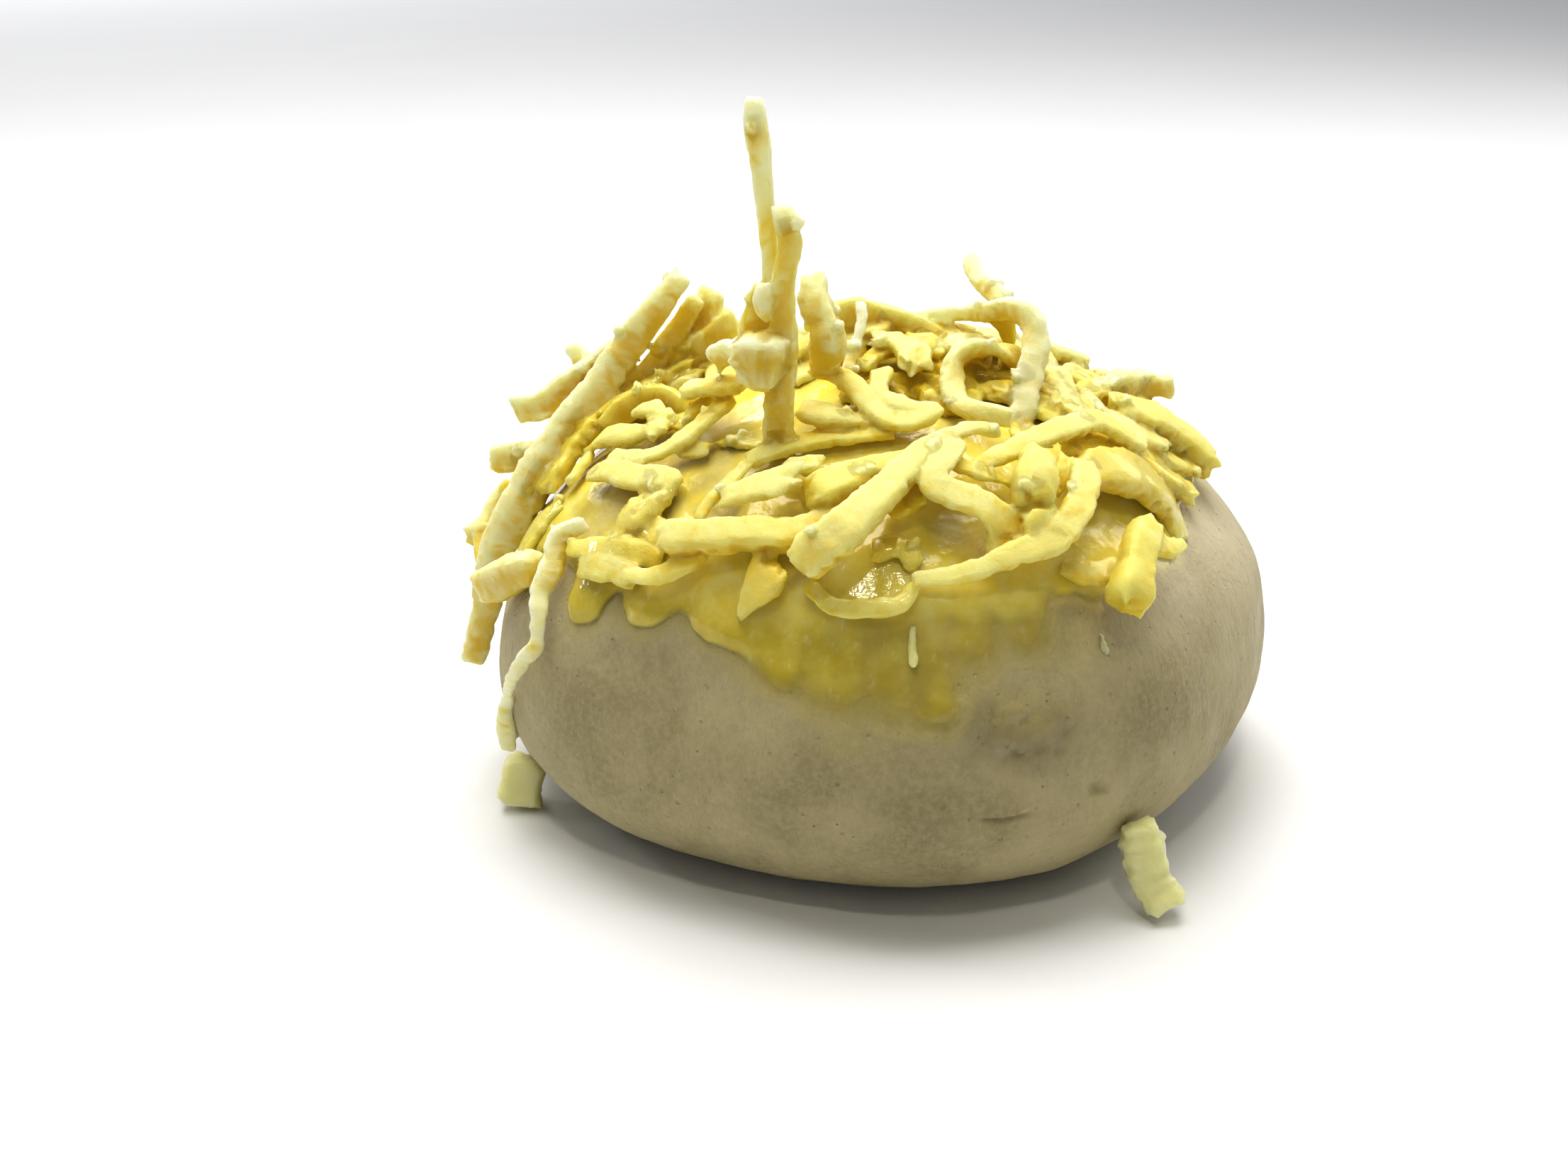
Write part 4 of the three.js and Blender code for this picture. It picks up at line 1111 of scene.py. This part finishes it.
    "right_left": dict(wide=(1.6, 2.0, 2.3, 2.5, 2.6), tone=0.25, lumps=0.06, way=[
        (8, -21, 3.5), (10.5, -20, 4.1), (14, -17.5, 4.9), (17, -15, 5.3), (20.5, -11.5, 5.3),
    ]),
    "right_right": dict(wide=(2.4, 2.6, 2.4), tone=0.3, way=[
        (19.5, -12, 5.3), (22.5, -11, 4.9), (25.5, -10, 4.2),
    ]),
    "right_flat": dict(wide=(1.7, 2.0, 2.2), tone=0.4, way=[
        (17, -15.5, 3.5), (20.5, -13, 3.5), (24.5, -9.5, 3.3),
    ]),
    "coated_arch": dict(wide=(3.4, 5.0, 5.0, 4.0, 2.9), thick=0.5, coat=0.7, tone=0.3, lumps=0.05, way=[
        (18, -18.5, 3.9), (22, -15.5, 3.9), (25.5, -13, 2.9), (28, -11.5, 1.5), (29.5, -12.5, 0.6),
    ]),
    # Crumbs and slivers.
    "star_crumb": dict(wide=1.1, rag=0.8, tone=0, way=[(-31.5, -10, 2.4), (-30.5, -10.5, 2.6)]),
    "ball_crumb": dict(wide=0.9, tone=0, way=[(-31.5, -12, 1.6), (-31, -12, 1.6)]),
    "sliver_right": dict(wide=(0.7, 0.9), tone=0, thick=0.4, way=[(20.5, -27, 0.6), (21, -28, 0.6)]),
    "sliver_front": dict(wide=(0.8, 1.2), tone=0, rag=0.5, lumps=0.3, thick=0.6, way=[
        (2.5, -32, 0.9), (2.5, -34, 0.9),
    ]),
}

FOOT_SHREDS = {
    "foot_shred_left": dict(
        wide=(4.0, 4.3, 4.4), thick=0.75, ends=0.9, lumps=0.1, rag=0.15, tone=0.45,
        way=[(-39.5, -13.5, 5.8), (-40, -14, 3), (-40.3, -14.4, 0.8)],
    ),
    "foot_shred_right": dict(
        wide=(3.5, 4.0, 4.0, 4.2, 3.6), thick=0.75, lumps=0.2, rag=0.1, rough=0.25, tone=0.4, way=[
            (25.5, -28.4, 9.4), (26.1, -28.8, 7), (26.8, -29.3, 5), (27.6, -30, 3.2), (28.7, -31, 1.4),
        ],
    ),
}

# The back of the heap, by the same rule as in the solids. The shreds lie between two azimuths and
# two shares of the outline, are bent by a share of half their length and pile up in the middle.
BACK_SHREDS = 24
BACK_SEED = 20
BACK_FROM = 12
BACK_TO = 172
BACK_NEAR = 0.15
BACK_FAR = 0.84
BACK_LENGTH = (9, 26)
BACK_WIDTH = (2, 3.6)
BACK_SPARE = 1.15  # how much wider they are made than the solids'
BACK_BEND = 0.35
BACK_OVER = (2.2, 2.8)
BACK_PILE = 5
BACK_PILE_REACH = 0.75


def bowed(x, y, heading, half, bend, over):
    """Middle line of a shred lying across a spot, bowed to one side."""
    points = []
    for step in (-1, 0, 1):
        bow = bend if step == 0 else 0
        points.append((
            x + step * half * math.cos(heading) - bow * math.sin(heading),
            y + step * half * math.sin(heading) + bow * math.cos(heading),
            over,
        ))
    return on_crown(points)


def back_shreds():
    roll = dice(BACK_SEED)
    looks = dice(BACK_SEED + 1)
    made = []
    for i in range(BACK_SHREDS):
        azimuth = math.radians(BACK_FROM + (BACK_TO - BACK_FROM) * (i + 0.5) / BACK_SHREDS)
        share = math.sqrt(rolled(roll, BACK_NEAR**2, BACK_FAR**2))
        reach = share * outline_radius(azimuth)
        heading = rolled(roll, 0, math.pi)
        half = 0.5 * rolled(roll, *BACK_LENGTH)
        bend = rolled(roll, -BACK_BEND, BACK_BEND) * half
        pile = BACK_PILE * max(0, BACK_PILE_REACH - share)
        over = rolled(roll, *BACK_OVER) + pile * rolled(roll, 0, 1)
        way = bowed(reach * math.cos(azimuth), reach * math.sin(azimuth), heading, half, bend, over)
        made.append(dict(
            wide=BACK_SPARE * rolled(roll, *BACK_WIDTH), way=way, facing=None, seed=200 + i,
            tone=rolled(looks, 0.4, 0.9), lumps=rolled(looks, 0.05, 0.22),
            rag=rolled(looks, 0.1, 0.5), ridges=rolled(looks, 0.03, 0.12),
        ))
    return made


# What is packed under the others, in two layers: how many, length, width, distance out from the
# crown, how much more of that in the middle, how far they go on in front of PACKED_FRONT, and
# looks.
PACKED = [
    (110, (4, 10), (3.0, 5.0), (0.7, 1.4), 1.2, 5, dict(thick=0.4, lumps=0.3, rough=0.25)),
    (110, (4, 10), (2.4, 3.8), (1.6, 2.5), 2.8, 0, dict(lumps=0.25, rag=0.6, rough=0.2)),
]
PACKED_SEED = 77
PACKED_BEND = 0.4
PACKED_FRONT = [(-30, 5), (-13, 3), (-4, -8), (25, -9), (36, -5)]  # x and y of where they end
GOLDEN_ANGLE = 137.508  # degrees from each to the next, which spreads them evenly
# How far down they reach, in degrees: on average, how much lower on the side of EDGE_LOW_AT, and
# how much up and down in how many waves.
EDGE_LEVEL = 36
EDGE_TILT = 8
EDGE_LOW_AT = 176
EDGE_WAVE = 2.5
EDGE_WAVES = 7


def heap_edge(azimuth):
    """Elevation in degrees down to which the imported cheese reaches."""
    low = EDGE_TILT * math.cos(azimuth - math.radians(EDGE_LOW_AT))
    return EDGE_LEVEL - low + EDGE_WAVE * math.sin(EDGE_WAVES * azimuth)


def packed_shreds():
    roll = dice(PACKED_SEED)
    front_x, front_y = np.array(PACKED_FRONT, float).T
    made = []
    for count, lengths, widths, overs, pile, ahead, looks in PACKED:
        for i in range(count):
            azimuth = math.radians(GOLDEN_ANGLE * i)
            far = math.cos(math.radians(heap_edge(azimuth)))
            share = far * math.sqrt((i + 0.5) / count)
            reach = share * outline_radius(azimuth)
            x = reach * math.cos(azimuth)
            y = reach * math.sin(azimuth)
            heading = rolled(roll, 0, math.pi)
            half = 0.5 * rolled(roll, *lengths)
            bend = rolled(roll, -PACKED_BEND, PACKED_BEND) * half
            over = rolled(roll, *overs) + pile * (1 - share / far) * rolled(roll, 0, 1)
            wide = rolled(roll, *widths)
            tone = rolled(roll, 0.5, 1)
            coat = rolled(roll, 0, 0.8)
            if y - half * abs(math.sin(heading)) < np.interp(x, front_x, front_y) - ahead:
                continue
            made.append(dict(
                wide=wide, way=bowed(x, y, heading, half, bend, over), facing=None,
                seed=400 + len(made), tone=tone, coat=coat, grain=0.5, sides=14, **looks,
            ))
    return made


GRAIN_WAVES = [(1.3, 1.3), (0.6, 0.9)]  # size, and height as a share of a shred's `rough`


def roughened(joined):
    """The shreds with a fine grain raised on them."""
    grain = layered_noise(joined["points"], GRAIN_WAVES, 50)
    points = joined["points"] + joined["normal"] * (joined["rough"] * grain)[:, None]
    return {**joined, "points": points}


def join(parts):
    """Several shreds' points, faces and numbers as one."""
    joined = {key: np.concatenate([one[key] for one in parts]) for key in parts[0] if key != "faces"}
    joined["faces"] = []
    first = 0
    for one in parts:
        joined["faces"] += [[first + corner for corner in face] for face in one["faces"]]
        first += len(one["points"])
    return joined


# Painted shade in the heap: how other shreds are looked for over each point.
SHADE_CELL = 0.8
SHADE_STEPS = (2.0, 3.2, 4.6)  # how far off other shreds are looked for
SHADE_SLANTS = 6  # how many ways it is looked aslant, besides straight up
SHADE_SLANT = 40  # how steeply, degrees
SHADE_MARGIN = 6  # room round the heap, wider than the steps


def shade_to_paint(points):
    """0 for a point of the heap in the open, up to 1 for one that others stand over all round: the
    share of painted shade in its colour.
    """
    low = points.min(0) - SHADE_MARGIN
    shape = np.ceil((points.max(0) + SHADE_MARGIN - low) / SHADE_CELL).astype(int)
    taken = np.zeros(shape)
    taken[tuple(((points - low) / SHADE_CELL).astype(int).T)] = 1
    ways = [np.array([0, 0, 1])]
    for i in range(SHADE_SLANTS):
        ways.append(direction(math.tau * i / SHADE_SLANTS, math.radians(SHADE_SLANT)))
    closed = 0
    for way in ways:
        spots = [((points + step * way - low) / SHADE_CELL).astype(int) for step in SHADE_STEPS]
        closed = closed + np.max([taken[tuple(spot.T)] for spot in spots], axis=0)
    return smooth_step(closed / len(ways), 0.1, 0.75)


CRUMBS = 170
CRUMB_SEED = 31
CRUMB_LENGTH = (0.6, 1.6)
CRUMB_WIDTH = (0.5, 1.1)
CRUMB_SLANT = 0.5  # how far from level one lies at most, radians


def crumbs(joined):
    """Little torn bits that stick to the upper sides of the shreds."""
    roll = dice(CRUMB_SEED)
    upper = np.flatnonzero(joined["normal"][:, 2] > 0.1)
    made = []
    for i in range(CRUMBS):
        at = upper[int(next(roll) * len(upper))]
        heading = rolled(roll, 0, math.tau)
        half = 0.5 * rolled(roll, *CRUMB_LENGTH)
        step = half * direction(heading, rolled(roll, -CRUMB_SLANT, CRUMB_SLANT))
        made.append(dict(
            way=[joined["points"][at] - step, joined["points"][at] + step],
            wide=rolled(roll, *CRUMB_WIDTH), thick=0.8, rag=0.5, lumps=0.3, rough=0.06,
            tone=0.7 * joined["tone"][at], grain=0.3, sides=10, seed=700 + i,
        ))
    return made


HEAP_VOXEL = 0.25  # grain of the fused heap
HEAP_TRIANGLES = 188_000
SPECK_POINTS = 50  # fewest points of a loose part that is kept


def count_faces(piece):
    bpy.context.view_layer.update()
    return len(piece.evaluated_get(bpy.context.evaluated_depsgraph_get()).data.polygons)


def without_specks(points, faces):
    """The points and faces without the loose parts of fewer than SPECK_POINTS points."""
    beside = [[] for _ in points]
    for face in faces:
        for i, corner in enumerate(face):
            beside[corner].append(face[i - 1])
            beside[face[i - 1]].append(corner)
    part = [-1] * len(points)
    for start in range(len(points)):
        if part[start] >= 0:
            continue
        part[start] = start
        waiting = [start]
        while waiting:
            for near in beside[waiting.pop()]:
                if part[near] < 0:
                    part[near] = start
                    waiting.append(near)
    kept = np.bincount(part, minlength=len(points))[part] >= SPECK_POINTS
    renumber = np.cumsum(kept) - 1
    return points[kept], [renumber[face].tolist() for face in faces if kept[face[0]]]


def fuse(joined):
    """One skin round all that overlaps, of HEAP_TRIANGLES at most, with the numbers of the
    nearest points."""
    mesh = bpy.data.meshes.new("loose")
    mesh.from_pydata(joined["points"].tolist(), [], joined["faces"])
    loose = add_object("loose", mesh)
    remesh = loose.modifiers.new("fuse", "REMESH")
    remesh.mode = "VOXEL"
    remesh.voxel_size = HEAP_VOXEL
    smooth = loose.modifiers.new("soften", "SMOOTH")
    smooth.factor = 0.3
    smooth.iterations = 1
    squares = count_faces(loose)
    thin = loose.modifiers.new("thin", "DECIMATE")
    thin.ratio = min(1, HEAP_TRIANGLES / (2 * squares))
    bpy.context.view_layer.update()
    skin = bpy.data.meshes.new_from_object(
        loose.evaluated_get(bpy.context.evaluated_depsgraph_get())
    )
    points = np.zeros(3 * len(skin.vertices))
    skin.vertices.foreach_get("co", points)
    points = points.reshape(-1, 3)
    points, faces = without_specks(points, [list(face.vertices) for face in skin.polygons])
    tree = KDTree(len(joined["points"]))
    for i, point in enumerate(joined["points"]):
        tree.insert(point, i)
    tree.balance()
    nearest = np.array([tree.find(point)[1] for point in points])
    bpy.data.objects.remove(loose)
    numbers = {key: joined[key][nearest] for key in ("tone", "coat", "strand")}
    return points, faces, numbers


def make_cheese():
    material = cheese_material()
    named = list(FREE_SHREDS.values())
    named += [settled(look) for look in LYING_SHREDS.values()]
    named = [{"seed": 1 + i, **look} for i, look in enumerate(named)]
    joined = join([shred(**look) for look in named + back_shreds() + packed_shreds()])
    joined = roughened(join([joined] + [shred(**look) for look in crumbs(joined)]))
    points, faces, numbers = fuse(joined)
    # How much painted shade each point of the heap gets.
    numbers["painted_shade"] = shade_to_paint(points)
    make_piece("cheese_heap", points, faces, material, ["cheese"], numbers)
    for i, (node, look) in enumerate(FOOT_SHREDS.items()):
        joined = roughened(shred(**{"seed": 90 + i, **look}))
        numbers = {key: joined[key] for key in ("tone", "coat", "strand")}
        # The foot shreds get no painted shade.
        numbers["painted_shade"] = np.zeros(len(joined["points"]))
        make_piece(
            node + "_real", joined["points"], joined["faces"], material, [node], numbers
        )


# ---- Stage ----


def make_camera():
    focal = PICTURE_WIDTH / 2 / math.tan(VIEW_ANGLE / 2)
    left = AIM_PIXEL[0] - PICTURE_WIDTH / 2
    below = AIM_PIXEL[1] - PICTURE_HEIGHT / 2
    yaw = math.atan2(left, focal)
    pitch = CAMERA_RISE - math.atan2(below, math.hypot(focal, left))
    forward = Vector((
        -math.sin(yaw) * math.cos(pitch), math.cos(yaw) * math.cos(pitch), -math.sin(pitch),
    ))
    right = Vector((math.cos(yaw), math.sin(yaw), 0))
    data = bpy.data.cameras.new("camera")
    data.sensor_fit = "HORIZONTAL"
    data.angle = VIEW_ANGLE
    data.clip_start = 0.01
    camera = add_object("camera", data)
    turn = Matrix((right, right.cross(forward), -forward)).transposed().to_4x4()
    place = Vector((
        0,
        -CAMERA_DISTANCE * math.cos(CAMERA_RISE),
        AIM_HEIGHT + CAMERA_DISTANCE * math.sin(CAMERA_RISE),
    ))
    camera.matrix_world = Matrix.Translation(place * MM) @ turn
    bpy.context.scene.camera = camera


FLOOR_HALF = 3.0  # metres


def make_floor():
    mesh = bpy.data.meshes.new("floor")
    corners = [
        (FLOOR_HALF * x, FLOOR_HALF * y, 0) for x, y in ((-1, -1), (1, -1), (1, 1), (-1, 1))
    ]
    mesh.from_pydata(corners, [], [(0, 1, 2, 3)])
    mesh.materials.append(floor_material())
    floor = add_object("floor", mesh)


# Name, place and size in metres, power in watts and colour.
LIGHTS = [
    ("overhead", (-0.04, 0.10, 0.62), (0.55, 0.42), 4.85, (1.0, 0.985, 0.96)),
    ("front_lamp", (0.0, -0.27, 0.50), (0.045, 0.025), 0.4, (1.0, 0.95, 0.76)),
    ("left_lamp", (-0.45, 0.08, 0.30), (0.05, 0.03), 0.2, (1.0, 1.0, 1.0)),
    ("right_back", (0.50, 0.30, 0.32), (0.30, 0.30), 0.95, (1.0, 0.98, 0.97)),
    ("backdrop", (-0.95, 1.35, 0.9), (1.2, 0.6), 14.5, (1.0, 1.0, 1.0)),
]
LIGHT_AIM = Vector((0, 0, 0.025))  # of all but the backdrop's, which shines straight down
SKY_STOPS = [(0.1, (0.64, 0.65, 0.67)), (0.8, (0.95, 0.97, 1.0))]  # height and colour
SKY_STRENGTH = 0.39
TONE_POWER = 1.25  # contrast of the picture, about white


def make_lights():
    for name, place, size, power, colour in LIGHTS:
        data = bpy.data.lights.new(name, "AREA")
        data.shape = "RECTANGLE"
        data.size, data.size_y = size
        data.energy = power
        data.color = colour
        light = add_object(name, data)
        light.location = place
        aim = Vector((place[0], place[1], 0)) if name == "backdrop" else LIGHT_AIM
        light.rotation_euler = (aim - Vector(place)).to_track_quat("-Z", "Y").to_euler()


def make_sky():
    world = bpy.data.worlds.new("sky")
    world.use_nodes = True
    nodes = world.node_tree.nodes
    links = world.node_tree.links
    nodes.clear()
    output = nodes.new("ShaderNodeOutputWorld")
    background = nodes.new("ShaderNodeBackground")
    background.inputs["Strength"].default_value = SKY_STRENGTH
    place = nodes.new("ShaderNodeTexCoord")
    axes = nodes.new("ShaderNodeSeparateXYZ")
    ramp = nodes.new("ShaderNodeValToRGB")
    for stop, (position, colour) in zip(ramp.color_ramp.elements, SKY_STOPS):
        stop.position = position
        stop.color = (*colour, 1)
    links.new(place.outputs["Generated"], axes.inputs[0])
    links.new(axes.outputs["Z"], ramp.inputs["Fac"])
    links.new(ramp.outputs["Color"], background.inputs["Color"])
    links.new(background.outputs[0], output.inputs["Surface"])
    bpy.context.scene.world = world


def set_colours():
    view = bpy.context.scene.view_settings
    view.view_transform = "Standard"
    view.gamma = 1 / TONE_POWER


make_camera()
make_floor()
make_lights()
make_sky()
set_colours()
make_dough()
make_wash()
make_cheese()
